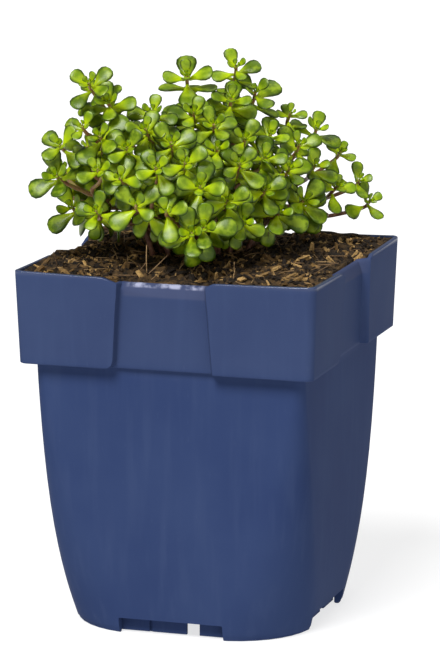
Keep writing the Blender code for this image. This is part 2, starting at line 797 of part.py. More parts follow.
def build_sedum(stems, roots):
    green = make_material("sedum leaf", (0.13, 0.27, 0.02), 0.32)
    routes = plan_stems(stems, roots)
    leaves = plan_leaves(routes)
    for index in range(len(stems)):
        own_routes = [route for route in routes if route[0] == index]
        shapes = [stem_shape(points, radius, shoot[2]) for owner, points, radius, shoot in own_routes]
        shapes += [leaf_shape(leaf) for owner, leaf in leaves if owner == index]
        parts = [add_object("part of stem", points, faces) for points, faces in shapes]
        stem = parts[0]
        stem.name = f"sedum_stem_{index + 1:02d}"
        stem.data.materials.append(green)
        apply_boolean(stem, parts[1:], "UNION", "MANIFOLD")
        keep_largest_body(stem)


remove_everything()
stem_plans = list_shoots()
root_places = place_roots(stem_plans)
build_pot()
build_soil(root_places)
build_sedum(stem_plans, root_places)
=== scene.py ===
"""Looks of the potted sedum: a square blue nursery pot, its potting soil and the leafy stems in it.

The script goes from the ground up. Sizes are in millimetres, with the middle of the pot's foot at
zero, and are turned to metres where a mesh is made.
"""

import math
import random

import bpy
import numpy as np
from mathutils import Matrix, Vector, noise
from mathutils.bvhtree import BVHTree


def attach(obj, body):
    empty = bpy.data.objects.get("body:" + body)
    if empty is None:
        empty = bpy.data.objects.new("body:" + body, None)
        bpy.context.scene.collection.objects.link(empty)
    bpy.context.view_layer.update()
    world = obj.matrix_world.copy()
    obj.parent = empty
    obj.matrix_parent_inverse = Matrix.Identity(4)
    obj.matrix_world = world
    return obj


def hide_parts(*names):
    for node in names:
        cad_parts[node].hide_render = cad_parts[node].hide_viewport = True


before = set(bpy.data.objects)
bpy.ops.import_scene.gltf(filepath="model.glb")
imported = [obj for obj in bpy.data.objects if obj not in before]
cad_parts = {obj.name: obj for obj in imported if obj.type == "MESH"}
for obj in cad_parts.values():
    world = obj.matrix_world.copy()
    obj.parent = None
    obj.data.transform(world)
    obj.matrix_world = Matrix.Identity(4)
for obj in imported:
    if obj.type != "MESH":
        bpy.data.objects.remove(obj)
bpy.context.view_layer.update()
bpy.ops.object.select_all(action="DESELECT")


# Pot
# A thin-walled square nursery pot, injection moulded in one piece from blue polypropylene. Its body
# runs from a rounded foot to nearly sharp corners under a deep collar, whose middle panels are
# pressed in. Its sides sag a little between the corners.

MM = 0.001
POT_HEIGHT = 107.0
RIM_HALF = 45.0
COLLAR_HEIGHT = 27.2
COLLAR_Z = POT_HEIGHT - COLLAR_HEIGHT
COLLAR_FOOT_HALF = 44.0
COLLAR_CORNER = 2.6
BODY_TOP_HALF = 40.3
BODY_FOOT_HALF = 35.9
BODY_CURVE = 3.6
BODY_TOP_CORNER = 3.0
BODY_FOOT_CORNER = 23.5
CORNER_CURVE = 1.2
BODY_TOP_FLAT = BODY_TOP_HALF - BODY_TOP_CORNER
WALL = 1.2
RECESS_DEPTH = 2.3
RECESS_DEPTH_AT_RIM = 3.2
RECESS_LEFT_TOP = -13.0
RECESS_LEFT_FOOT = -14.8
RECESS_RIGHT_TOP = 11.6
RECESS_RIGHT_FOOT = 13.4
LEFT_STEP = 0.6
RIGHT_STEP = 1.3
STEP_OFFSET = 0.6
PANEL_CORNER = 2.5
PANEL_MIDDLE = 28.0
SCOOP = 3.7
SCOOP_LEFT_SHARE = 0.55
RIM_SAG = 0.6
RIM_DIP = 1.5
DIP_LEFT = 6.0
DIP_RIGHT = 4.0
RIM_ROUND = 0.4
LIP_ROUND = 1.1
FLOOR_UNDERSIDE = 4.9
FLOOR_TOP = 6.2
SKIRT_WALL = 1.9
FOOT_ROLL = 0.9
BODY_LEVELS = (1.4, 2.2, 3.2, 4.6, 6.4, 8.6, 11, 14, 18, 23, 29, 36, 44, 52, 60, 67, 73, 77, COLLAR_Z - 0.5)
CORNER_STEPS = 9


def smooth_step(share):
    share = min(max(share, 0.0), 1.0)
    return share * share * (3.0 - 2.0 * share)


def foot_share(z):
    return (COLLAR_Z - min(z, COLLAR_Z)) / COLLAR_Z


def body_half(z):
    return BODY_TOP_HALF - (BODY_TOP_HALF - BODY_FOOT_HALF) * foot_share(z) ** BODY_CURVE


def body_corner(z):
    return BODY_TOP_CORNER + (BODY_FOOT_CORNER - BODY_TOP_CORNER) * foot_share(z) ** CORNER_CURVE


def rim_height(along):
    """Height of the rim at a distance along a side from its middle, lower over the recess."""
    enter = smooth_step((along - RECESS_LEFT_TOP) / DIP_LEFT + 1.0)
    leave = smooth_step((RECESS_RIGHT_TOP - along) / DIP_RIGHT + 1.0)
    sag = RIM_SAG * (1.0 - min(abs(along) / RIM_HALF, 1.0) ** 2)
    return POT_HEIGHT - sag - RIM_DIP * enter * leave


def place_on_side(side, along, out, z):
    """A point along a side and out from the axis, on side 0 (front) to 3, going anticlockwise."""
    return Matrix.Rotation(side * math.pi / 2, 3, "Z") @ Vector((along, -out, z))


def side_stations(left, right):
    """Places along a side between its panels' middles, each with how far it is into the recess."""
    stations = [(-PANEL_MIDDLE, 0.0)]
    stations += [(left - LEFT_STEP - DIP_LEFT * (1 - i / 5), 0.0) for i in range(5)]
    stations += [(left - LEFT_STEP * (1 - i / 5), smooth_step(i / 5)) for i in range(6)]
    stations += [(left + (right - left) * i / 6, 1.0) for i in range(1, 6)]
    stations += [(right + RIGHT_STEP * i / 5, 1.0 - smooth_step(i / 5)) for i in range(6)]
    stations += [(right + RIGHT_STEP + DIP_RIGHT * i / 4, 0.0) for i in range(1, 5)]
    return stations + [(PANEL_MIDDLE, 0.0)]


def corner_arc(side, half, corner, height):
    centre = half - corner
    points = []
    for step in range(1, CORNER_STEPS):
        angle = step / CORNER_STEPS * math.pi / 2
        along = centre + corner * math.sin(angle)
        points.append(place_on_side(side, along, centre + corner * math.cos(angle), height(along)))
    return points


def body_ring(z, inset=0.0, level=None):
    """Outline of the pot's body at a height, drawn at another level where one is given."""
    half = body_half(z) - inset
    corner = max(body_corner(z) - inset, 1.0)
    flat = half - corner
    level = z if level is None else level
    points = []
    for side in range(4):
        shares = [along / BODY_TOP_FLAT for along, recessed in side_stations(RECESS_LEFT_FOOT, RECESS_RIGHT_FOOT)]
        for share in (-1.0, *shares, 1.0):
            points.append(place_on_side(side, share * flat, half, level))
        points += corner_arc(side, half, corner, lambda along: level)
    return points


def collar_ring(rise, inset=0.0, drop=None, level=None, roll=None):
    """Outline of the collar at a share of its height, or at a drop or an angle of roll over the sagging rim."""
    if roll is not None:
        inset, drop = RIM_ROUND * (1 - math.cos(roll)), RIM_ROUND * (1 - math.sin(roll))
    half = COLLAR_FOOT_HALF + (RIM_HALF - COLLAR_FOOT_HALF) * rise - inset
    corner = max(COLLAR_CORNER - inset, 0.8)
    left = RECESS_LEFT_FOOT + (RECESS_LEFT_TOP - RECESS_LEFT_FOOT) * rise - inset * STEP_OFFSET
    right = RECESS_RIGHT_FOOT + (RECESS_RIGHT_TOP - RECESS_RIGHT_FOOT) * rise + inset * STEP_OFFSET
    low = PANEL_CORNER - rise * COLLAR_HEIGHT
    if low > 0.0 and drop is None:
        left -= PANEL_CORNER - math.sqrt(PANEL_CORNER ** 2 - low ** 2)

    def height(along, share=1.0):
        if level is not None:
            return level
        if drop is None:
            return COLLAR_Z + rise * COLLAR_HEIGHT
        return rim_height(along) - drop * share

    points = []
    for side in range(4):
        points.append(place_on_side(side, -(half - corner), half, height(-(half - corner))))
        for along, recessed in side_stations(left, right):
            depth = RECESS_DEPTH
            share = 1.0
            if drop is not None:
                depth += (RECESS_DEPTH_AT_RIM - RECESS_DEPTH) * (1.0 - min(drop / SCOOP, 1.0))
                bowl = smooth_step((along - left) / (right - left) * 2)
                share -= (1.0 - SCOOP_LEFT_SHARE) * (1.0 - bowl) * recessed
            place = place_on_side(side, along, half - depth * recessed, height(along, share))
            if roll is not None:
                lip = (LIP_ROUND - RIM_ROUND) * recessed
                place += place_on_side(side, 0.0, -lip * (1 - math.cos(roll)), -lip * (1 - math.sin(roll)))
            points.append(place)
        points.append(place_on_side(side, half - corner, half, height(half - corner)))
        points += corner_arc(side, half, corner, height)
    return points


def pot_rings():
    """The wall's outlines: under the floor, down the skirt, up the outside, over the rim, down inside."""
    ledge = COLLAR_Z + WALL
    rings = [body_ring(0.0, SKIRT_WALL, FLOOR_UNDERSIDE), body_ring(0.0, SKIRT_WALL, 0.3)]
    rings += [body_ring(0.0, SKIRT_WALL - 0.3)]
    for step in range(5):
        angle = step / 4 * math.pi / 2
        rings.append(body_ring(0.0, FOOT_ROLL * (1 - math.sin(angle)), FOOT_ROLL * (1 - math.cos(angle))))
    rings += [body_ring(z) for z in BODY_LEVELS]
    rings += [body_ring(COLLAR_Z, -0.15, COLLAR_Z - 0.1), body_ring(COLLAR_Z, -0.6, COLLAR_Z)]
    rings += [collar_ring(0.0, 0.35), collar_ring(0.0, 0.1, level=COLLAR_Z + 0.1)]
    rings += [collar_ring(0.012), collar_ring(0.04), collar_ring(0.09), collar_ring(0.2)]
    rings += [collar_ring(0.45), collar_ring(0.7)]
    rings += [collar_ring(1.0 - drop / COLLAR_HEIGHT, drop=drop) for drop in (4.6, SCOOP + 0.1, SCOOP - 0.15, 2.8, 2.1)]
    rings += [collar_ring(1.0, roll=step / 5 * math.pi / 2) for step in range(6)]
    rings += [collar_ring(1.0, WALL - 0.1, drop=0.02), collar_ring(1.0, WALL, drop=0.2)]
    rings += [collar_ring(1.0 - drop / COLLAR_HEIGHT, WALL, drop=drop) for drop in (1.2, 2.2, 3.2, 4.6)]
    rings += [collar_ring(0.5, WALL), collar_ring(0.0, WALL, level=ledge), body_ring(COLLAR_Z, WALL, ledge)]
    rings += [body_ring(z, WALL) for z in (68, 54, 40, 27, 16, 9)]
    rings.append(body_ring(FLOOR_TOP, WALL))
    return rings


def wrap_grid(name, rings):
    """A closed wall: a flat grid rolled up through rings of equal length, with its ends filled."""
    around = len(rings[0])
    bpy.ops.mesh.primitive_grid_add(x_subdivisions=around, y_subdivisions=len(rings) - 1, size=1)
    piece = bpy.context.object
    piece.name = name
    for vertex in piece.data.vertices:
        row, column = divmod(vertex.index, around + 1)
        vertex.co = rings[row][column % around] * MM
    bpy.ops.object.mode_set(mode="EDIT")
    bpy.ops.mesh.select_all(action="SELECT")
    bpy.ops.mesh.remove_doubles(threshold=0.00001 * MM)
    bpy.ops.mesh.fill_holes(sides=0)
    bpy.ops.mesh.select_all(action="SELECT")
    bpy.ops.mesh.normals_make_consistent(inside=False)
    bpy.ops.object.mode_set(mode="OBJECT")
    return piece


pot = wrap_grid("nursery_pot", pot_rings())

# The skirt is notched in the middle of each side, and a low rib stands behind each notch with a
# gap and a groove in it. Five drain holes go through the raised floor.
NOTCH_LEFT = -16.4
NOTCH_RIGHT = 15.2
NOTCH_HEIGHT = 4.8
RIB_OUT = BODY_FOOT_HALF - 3.0
RIB_WALL = 1.2
RIB_LIFT = 0.3
RIB_SLOT = (3.2, 7.2)
RIB_GROOVE = (-8.1, -7.2)
RIB_GROOVE_DEPTH = 0.5
DRAIN_RADIUS = 4.0
DRAIN_PLACE = 17.0


def add_block(name, low, high, side, edge=0.0):
    """A block on one side of the pot, its upright edges rounded."""
    size = Vector(high) - Vector(low)
    middle = (Vector(high) + Vector(low)) / 2
    bpy.ops.mesh.primitive_cube_add(size=1.0)
    block = bpy.context.object
    block.name = name
    for vertex in block.data.vertices:
        place = Vector(a * b for a, b in zip(vertex.co, size)) + middle
        vertex.co = place_on_side(side, place.x, -place.y, place.z) * MM
    if edge:
        bevel = block.modifiers.new("rounded edges", "BEVEL")
        bevel.width = edge * MM
        bevel.segments = 3
        bpy.ops.object.modifier_apply(modifier=bevel.name)
    return block


def add_drain(x, y):
    bpy.ops.mesh.primitive_cylinder_add(vertices=40, radius=DRAIN_RADIUS * MM, depth=10 * MM)
    drain = bpy.context.object
    for vertex in drain.data.vertices:
        vertex.co += Vector((x, y, FLOOR_TOP)) * MM
    return drain


def apply_boolean(piece, tools, operation):
    """Join or cut a piece with every tool at once, then remove the tools."""
    group = bpy.data.collections.new("tools")
    for tool in tools:
        group.objects.link(tool)
    boolean = piece.modifiers.new("boolean", "BOOLEAN")
    boolean.operand_type = "COLLECTION"
    boolean.collection = group
    boolean.operation = operation
    boolean.solver = "EXACT"
    bpy.ops.object.select_all(action="DESELECT")
    bpy.context.view_layer.objects.active = piece
    bpy.ops.object.modifier_apply(modifier=boolean.name)
    for tool in tools:
        bpy.data.objects.remove(tool)
    bpy.data.collections.remove(group)


ribs = []
cutters = []
for side in range(4):
    rib_low = (NOTCH_LEFT - 2.0, -RIB_OUT, RIB_LIFT)
    rib_high = (NOTCH_RIGHT + 2.0, -RIB_OUT + RIB_WALL, FLOOR_UNDERSIDE + 0.6)
    ribs.append(add_block("rib", rib_low, rib_high, side, 0.15))
    notch_low = (NOTCH_LEFT, -BODY_FOOT_HALF - 5.0, -1.0)
    cutters.append(add_block("notch", notch_low, (NOTCH_RIGHT, -RIB_OUT - 0.4, NOTCH_HEIGHT), side, 0.35))
    slot_low = (RIB_SLOT[0], -RIB_OUT - 1.0, -1.0)
    cutters.append(add_block("slot", slot_low, (RIB_SLOT[1], -RIB_OUT + 4.0, NOTCH_HEIGHT), side))
    groove_low = (RIB_GROOVE[0], -RIB_OUT - 1.0, -1.0)
    groove_high = (RIB_GROOVE[1], -RIB_OUT + RIB_GROOVE_DEPTH, NOTCH_HEIGHT)
    cutters.append(add_block("groove", groove_low, groove_high, side))
for x, y in ((0, 0), (1, 1), (1, -1), (-1, 1), (-1, -1)):
    cutters.append(add_drain(x * DRAIN_PLACE, y * DRAIN_PLACE))
apply_boolean(pot, ribs, "UNION")
apply_boolean(pot, cutters, "DIFFERENCE")
bpy.ops.object.select_all(action="DESELECT")
pot.select_set(True)
bpy.context.view_layer.objects.active = pot
bpy.ops.object.shade_smooth_by_angle(angle=math.radians(34))


class Signal:
    """An output of a shader node. Sums, products and powers of it add Math nodes."""

    def __init__(self, finish, socket):
        self.finish = finish
        self.socket = socket

    def calculate(self, operation, first, second):
        return self.finish.node("ShaderNodeMath", {"operation": operation}, {0: first, 1: second})

    def __add__(self, other):
        return self.calculate("ADD", self, other)

    __radd__ = __add__

    def __sub__(self, other):
        return self.calculate("SUBTRACT", self, other)

    def __rsub__(self, other):
        return self.calculate("SUBTRACT", other, self)

    def __mul__(self, other):
        return self.calculate("MULTIPLY", self, other)

    __rmul__ = __mul__

    def __pow__(self, other):
        return self.calculate("POWER", self, other)


class Finish:
    """A material built up around one Principled shader, whose even values are set on its sockets."""

    def __init__(self, name, even):
        self.material = bpy.data.materials.new(name)
        self.material.use_nodes = True
        self.tree = self.material.node_tree
        self.shader = self.tree.nodes["Principled BSDF"]
        for socket, value in even.items():
            self.feed(self.shader.inputs[socket], value)
        self.place = self.node("ShaderNodeTexCoord", {}, {}, 3)

    def feed(self, socket, value):
        if isinstance(value, Signal):
            self.tree.links.new(value.socket, socket)
        else:
            socket.default_value = value

    def node(self, kind, settings, inputs, output=0):
        """A node of a kind, with its settings made first, and one of its outputs."""
        node = self.tree.nodes.new(kind)
        for name, value in settings.items():
            setattr(node, name, value)
        for name, value in inputs.items():
            self.feed(node.inputs[name], value)
        return Signal(self, node.outputs[output])

    def grain(self, per_metre, detail=3.0, stretch=(1.0, 1.0, 1.0), roughness=0.5):
        """Noise from 0 to 1 with a number of bumps to the metre."""
        place = self.node("ShaderNodeMapping", {}, {"Vector": self.place, "Scale": stretch})
        settings = {"Vector": place, "Scale": per_metre, "Detail": detail, "Roughness": roughness}
        return self.node("ShaderNodeTexNoise", {}, settings)

    def calculate_least(self, first, second):
        """The smaller of two values' sizes, whatever their signs."""
        first = self.node("ShaderNodeMath", {"operation": "ABSOLUTE"}, {0: first})
        second = self.node("ShaderNodeMath", {"operation": "ABSOLUTE"}, {0: second})
        return self.node("ShaderNodeMath", {"operation": "MINIMUM"}, {0: first, 1: second})

    def spread(self, value, low, high):
        """A value stretched so that low becomes 0 and high becomes 1."""
        inputs = {"Value": value, "From Min": low, "From Max": high}
        return self.node("ShaderNodeMapRange", {"interpolation_type": "SMOOTHSTEP"}, inputs)

    def blend(self, share, first, second):
        """A colour between two colours."""
        first = first if isinstance(first, Signal) else (*first, 1.0)
        second = second if isinstance(second, Signal) else (*second, 1.0)
        return self.node("ShaderNodeMix", {"data_type": "RGBA"}, {0: share, 6: first, 7: second}, 2)

    def emboss(self, height, strength, depth):
        inputs = {"Height": height, "Strength": strength, "Distance": depth * MM}
        self.feed(self.shader.inputs["Normal"], self.node("ShaderNodeBump", {}, inputs))


plastic = Finish("blue_pot_plastic", {"Specular IOR Level": 0.004, "IOR": 1.49, "Coat Roughness": 0.2})
across = plastic.node("ShaderNodeSeparateXYZ", {}, {0: plastic.place}, 0)
front = plastic.node("ShaderNodeSeparateXYZ", {}, {0: plastic.place}, 1)
rise = plastic.node("ShaderNodeSeparateXYZ", {}, {0: plastic.place}, 2)
clouds = plastic.grain(38.0, 3.0)
streaks = plastic.grain(60.0, 4.0, (6.0, 6.0, 0.5))
scuffs = plastic.spread(plastic.grain(900.0, 4.0, (1.0, 1.0, 0.25), 0.7), 0.62, 0.8)
# The collar's blue is painted a little lighter than the body's: a painted sheen for the extra light and reflection that
# the upright collar catches from above.
body = plastic.blend(plastic.spread(clouds, 0.3, 0.7), (0.026, 0.043, 0.114), (0.031, 0.050, 0.124))
collar = plastic.blend(plastic.spread(clouds, 0.3, 0.7), (0.034, 0.051, 0.119), (0.039, 0.058, 0.129))
blue = plastic.blend(plastic.spread(rise, (COLLAR_Z - 4.0) * MM, (COLLAR_Z + 4.0) * MM), body, collar)
blue = plastic.blend(plastic.spread(streaks, 0.45, 0.75) * 0.35, blue, (0.042, 0.063, 0.140))
blue = plastic.blend(scuffs * 0.15, blue, (0.10, 0.13, 0.22))
off_middle = plastic.calculate_least(across, front)
panel = plastic.spread(off_middle, 13.5 * MM, 11.5 * MM)
# A strip just under the rim in the middle of each side is painted lighter and greyer: a painted sheen for the light
# that the upturned strip catches.
scoop_painted_sheen = panel * plastic.spread(rise, (POT_HEIGHT - 6.4) * MM, (POT_HEIGHT - 5.4) * MM)
blue = plastic.blend(scoop_painted_sheen * 0.25, blue, (0.095, 0.098, 0.150))
# Pale patches on the front lip over the pressed-in panel are painted highlights: glints of light on the rounded glossy
# lip.
painted_rim_glint = plastic.spread(off_middle, 12.0 * MM, 10.0 * MM) * plastic.spread(front, -30.0 * MM, -40.0 * MM)
painted_rim_glint = painted_rim_glint * plastic.spread(rise, (POT_HEIGHT - 3.5) * MM, (POT_HEIGHT - 2.9) * MM)
painted_rim_glint = painted_rim_glint * plastic.spread(plastic.grain(260.0, 3.0), 0.38, 0.56)
plastic.feed(plastic.shader.inputs["Base Color"], plastic.blend(painted_rim_glint * 0.7, blue, (0.46, 0.48, 0.64)))
plastic.feed(plastic.shader.inputs["Roughness"], 0.36 + streaks * 0.12 + scuffs * 0.14)
plastic.feed(plastic.shader.inputs["Coat Weight"], plastic.spread(rise, (POT_HEIGHT - 1.6) * MM, POT_HEIGHT * MM))
peel = plastic.grain(2600.0, 2.0)
plastic.emboss(peel + streaks * 1.5, 0.14, 0.12)
pot.data.materials.append(plastic.material)
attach(pot, "root")
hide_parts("pot")


# Potting soil
# Peat and composted bark, filled level with the rim and mounded a little in the middle, with a
# loose crumbly top that keeps clear of the pot's wall by a hair.

CLEARANCE = 0.35
SOIL_EDGE_DROP = 0.9
SOIL_MOUND = 1.6
SOIL_BUMP = 1.3
SOIL_BUMPS_PER_MM = 0.11
SOIL_ROUGHNESS = 0.8
SOIL_OCTAVES = 3
SOIL_HEAP = 1.9
HEAP_SPREAD = 0.8
HEAP_START = 0.4
SOIL_EDGE_POWER = 6
SOIL_EDGE_CALM = 0.7
SOIL_SEED = Vector((3.1, 7.4, 1.9))
SOIL_CELLS = 170
CRUMB_HEIGHT = 1.35
FILL_SKIRT = 9.0
FILL_TAPER = 0.955


def soil_height(x, y):
    """Height of the soil: level with the sagging rim, heaped at the left and back, and mounded inside."""
    along = x if abs(y) > abs(x) else y
    reach = min(max(abs(x), abs(y)) / RIM_HALF, 1.0)
    back_left = smooth_step((y - x) / (abs(x) + abs(y) + CLEARANCE) * HEAP_SPREAD + HEAP_START)
    heap = (SOIL_HEAP + POT_HEIGHT - rim_height(along)) * back_left
    edge = rim_height(along) - SOIL_EDGE_DROP + heap
    middle = POT_HEIGHT - SOIL_EDGE_DROP + SOIL_MOUND * (1.0 - reach * reach)
    blend = reach ** SOIL_EDGE_POWER
    place = Vector((x, y, 0.0)) * SOIL_BUMPS_PER_MM + SOIL_SEED
    bump = noise.fractal(place, SOIL_ROUGHNESS, 2.0, SOIL_OCTAVES)
    return edge * blend + middle * (1.0 - blend) + bump * SOIL_BUMP * (1.0 - blend * SOIL_EDGE_CALM)


def crumbs(x, y):
    """How far the crumbs stand above or below the soil's general surface."""
    place = Vector((x, y, 0.0))
    lumps = noise.voronoi(place * 0.42)[0]
    grains = noise.voronoi(place * 1.1 + SOIL_SEED)[0]
    return CRUMB_HEIGHT * (0.55 - lumps[0] * 1.1 - grains[0] * 0.45 + noise.noise(place * 0.8) * 0.5)


def fill_half(along):
    """Half width of the fill at a distance along a side: less behind a pressed-in panel."""
    enter = smooth_step((along - RECESS_LEFT_TOP + 1.6) / 1.2)
    leave = smooth_step((RECESS_RIGHT_TOP + 2.2 - along) / 1.6)
    return RIM_HALF - WALL - CLEARANCE - RECESS_DEPTH_AT_RIM * enter * leave - 0.3


def soil_place(u, v):
    """The place on the fill of a point of a square that reaches from -1 to 1."""
    turn_x = 1.0 if u > 0 else -1.0
    turn_y = 1.0 if v > 0 else -1.0
    return u * fill_half(turn_x * v * RIM_HALF), v * fill_half(-turn_y * u * RIM_HALF)


bpy.ops.mesh.primitive_grid_add(x_subdivisions=SOIL_CELLS, y_subdivisions=SOIL_CELLS, size=2)
soil = bpy.context.object
soil.name = "potting_soil_fill"
for vertex in soil.data.vertices:
    u, v = vertex.co.x, vertex.co.y
    x, y = soil_place(u, v)
    edge = smooth_step((1.0 - max(abs(u), abs(v))) * 30)
    vertex.co = Vector((x, y, soil_height(x, y) + crumbs(x, y) * edge)) * MM
bpy.ops.object.mode_set(mode="EDIT")
bpy.ops.mesh.select_all(action="DESELECT")
bpy.ops.mesh.select_non_manifold()
bpy.ops.mesh.extrude_region_move(TRANSFORM_OT_translate={"value": (0, 0, -FILL_SKIRT * MM)})
bpy.ops.transform.resize(value=(FILL_TAPER, FILL_TAPER, 1.0), center_override=(0, 0, POT_HEIGHT * MM))
bpy.ops.mesh.edge_face_add()
bpy.ops.mesh.select_all(action="SELECT")
bpy.ops.mesh.normals_make_consistent(inside=False)
bpy.ops.object.mode_set(mode="OBJECT")
bpy.ops.object.shade_smooth()

peat = Finish("potting_soil_peat", {"Specular IOR Level": 0.3})
clods = peat.grain(330.0, 5.0, roughness=0.65)
fibres = peat.grain(1500.0, 4.0, (1.0, 3.2, 1.0), 0.7)
brown = peat.blend(peat.spread(clods, 0.36, 0.66), (0.006, 0.004, 0.003), (0.085, 0.048, 0.016))
bark_specks = peat.spread(fibres, 0.58, 0.72) * peat.spread(clods, 0.35, 0.6)
peat.feed(peat.shader.inputs["Base Color"], peat.blend(bark_specks * 0.9, brown, (0.40, 0.235, 0.095)))
peat.feed(peat.shader.inputs["Roughness"], 0.95 - clods * 0.25)
peat.emboss(clods + fibres * 0.6, 0.8, 0.7)
soil.data.materials.append(peat.material)
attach(soil, "root")
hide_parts("potting_soil")


# Bark and crumbs on the soil
# Chips of composted pine bark, split along the grain, and small crumbs of peat, which lie loose on
# the soil and half sunk in it.

CHIP_COUNT = 1700
CRUMB_COUNT = 900
CHIP_LENGTHS = (1.3, 4.2)
CRUMB_SIZES = (0.5, 1.3)
LITTER_HALF = 41.5
LITTER_REACH = 0.965
LITTER_SEED = 11


def chip_shape(name, cuts, ragged, seed):
    """A split chip one unit long: a block cut across, tapered and roughened."""
    draw = random.Random(seed)
    bpy.ops.mesh.primitive_cube_add(size=1)
    chip = bpy.context.object
    chip.name = name
    bpy.ops.object.mode_set(mode="EDIT")
    bpy.ops.mesh.subdivide(number_cuts=cuts)
    bpy.ops.object.mode_set(mode="OBJECT")
    for vertex in chip.data.vertices:
        taper = 1.0 - 1.1 * vertex.co.x ** 2
        vertex.co.y *= 0.42 * taper
        vertex.co.z *= 0.22 * taper
        vertex.co += Vector((draw.uniform(-1, 1), draw.uniform(-1, 1), draw.uniform(-1, 1))) * ragged
    return chip


def scatter(shape, place, turn, tilt, size, tone):
    """A copy of a shape with its own mesh, laid in place, with its tone kept as an attribute."""
    copy = bpy.data.objects.new(shape.name, shape.data.copy())
    bpy.context.collection.objects.link(copy)
    lie = Matrix.Rotation(turn, 4, "Z") @ Matrix.Rotation(tilt, 4, "Y") @ Matrix.Rotation(turn * 7, 4, "X")
    stretch = Matrix.Diagonal((*size, 1.0))
    copy.data.transform(Matrix.Scale(MM, 4) @ Matrix.Translation(place) @ lie @ stretch)
    tones = copy.data.attributes.new("tone", "FLOAT", "POINT")
    tones.data.foreach_set("value", [tone] * len(copy.data.vertices))
    return copy


def join_copies(name, copies):
    bpy.ops.object.select_all(action="DESELECT")
    for copy in copies:
        copy.select_set(True)
    bpy.context.view_layer.objects.active = copies[0]
    bpy.ops.object.join()
    copies[0].name = name
    return copies[0]


draw = random.Random(LITTER_SEED)
chip_shapes = [chip_shape("bark chip", 1, 0.05, seed) for seed in range(5)]
chips = []
for number in range(CHIP_COUNT):
    x, y = soil_place(draw.uniform(-LITTER_REACH, LITTER_REACH), draw.uniform(-LITTER_REACH, LITTER_REACH))
    length = CHIP_LENGTHS[0] + (CHIP_LENGTHS[1] - CHIP_LENGTHS[0]) * draw.random() ** 1.8
    place = Vector((x, y, soil_height(x, y) + crumbs(x, y) + length * 0.03))
    size = (length, length * draw.uniform(0.4, 0.9), length * draw.uniform(0.6, 1.4))
    tilt = draw.gauss(0.0, 0.5)
    shape = chip_shapes[number % len(chip_shapes)]
    chips.append(scatter(shape, place, draw.uniform(0, math.tau), tilt, size, draw.random()))
bark = join_copies("bark_chips", chips)

crumb_shapes = [chip_shape("peat crumb", 1, 0.09, seed) for seed in range(5, 9)]
grains = []
for number in range(CRUMB_COUNT):
    x, y = soil_place(draw.uniform(-LITTER_REACH, LITTER_REACH), draw.uniform(-LITTER_REACH, LITTER_REACH))
    across = draw.uniform(*CRUMB_SIZES)
    place = Vector((x, y, soil_height(x, y) + crumbs(x, y) + across * 0.12))
    size = (across, across * 1.9, across * 3.2)
    shape = crumb_shapes[number % len(crumb_shapes)]
    grains.append(scatter(shape, place, draw.uniform(0, math.tau), draw.uniform(-1, 1), size, draw.random() * 0.35))
peat_crumbs = join_copies("peat_crumbs", grains)

bark_finish = Finish("split_bark", {"Specular IOR Level": 0.3})
tone = bark_finish.node("ShaderNodeAttribute", {"attribute_name": "tone"}, {}, 2)
rings = bark_finish.grain(1400.0, 4.0, roughness=0.7)
dull = bark_finish.blend(bark_finish.spread(tone, 0.2, 0.7), (0.012, 0.008, 0.005), (0.165, 0.090, 0.025))
warm = bark_finish.blend(bark_finish.spread(tone, 0.65, 0.95), dull, (0.50, 0.31, 0.11))
shade = bark_finish.spread(rings, 0.35, 0.7)
colour = bark_finish.blend(shade * 0.6, warm, (0.020, 0.012, 0.007))
bark_finish.feed(bark_finish.shader.inputs["Base Color"], colour)
bark_finish.feed(bark_finish.shader.inputs["Roughness"], 0.92 - tone * 0.3)
bark_finish.emboss(rings, 0.6, 0.25)
for piece in (bark, peat_crumbs):
    piece.data.materials.append(bark_finish.material)
    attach(piece, "root")
for shape in chip_shapes + crumb_shapes:
    bpy.data.objects.remove(shape)


# Straw and root fibres
# Pale dry fibres from the compost, bent and split, that lie across the soil or stick out of it.

STRAW_COUNT = 100
STRAW_LENGTHS = (3.0, 11.0)
STRAW_RADIUS = 0.16
UPRIGHT_STRAW = (-7.4, -36.2, 9.0)


def straw_shape(bend, kink):
    """A bent fibre one unit long: a thin rod cut into stretches, bowed and kinked."""
    bpy.ops.mesh.primitive_cylinder_add(vertices=5, radius=1, depth=1, rotation=(0, math.pi / 2, 0))
    bpy.ops.object.transform_apply(location=False, rotation=True, scale=True)
    straw = bpy.context.object
    for offset in (-0.3, -0.1, 0.1, 0.3):
        bpy.ops.object.mode_set(mode="EDIT")
        bpy.ops.mesh.select_all(action="SELECT")
        bpy.ops.mesh.bisect(plane_co=(offset, 0, 0), plane_no=(1, 0, 0))
        bpy.ops.object.mode_set(mode="OBJECT")
    for vertex in straw.data.vertices:
        thin = 1.0 - 0.7 * abs(vertex.co.x)
        vertex.co.y = vertex.co.y * thin + bend * (0.25 - vertex.co.x ** 2) / STRAW_RADIUS
        vertex.co.z = vertex.co.z * thin + kink * abs(vertex.co.x) / STRAW_RADIUS
    return straw


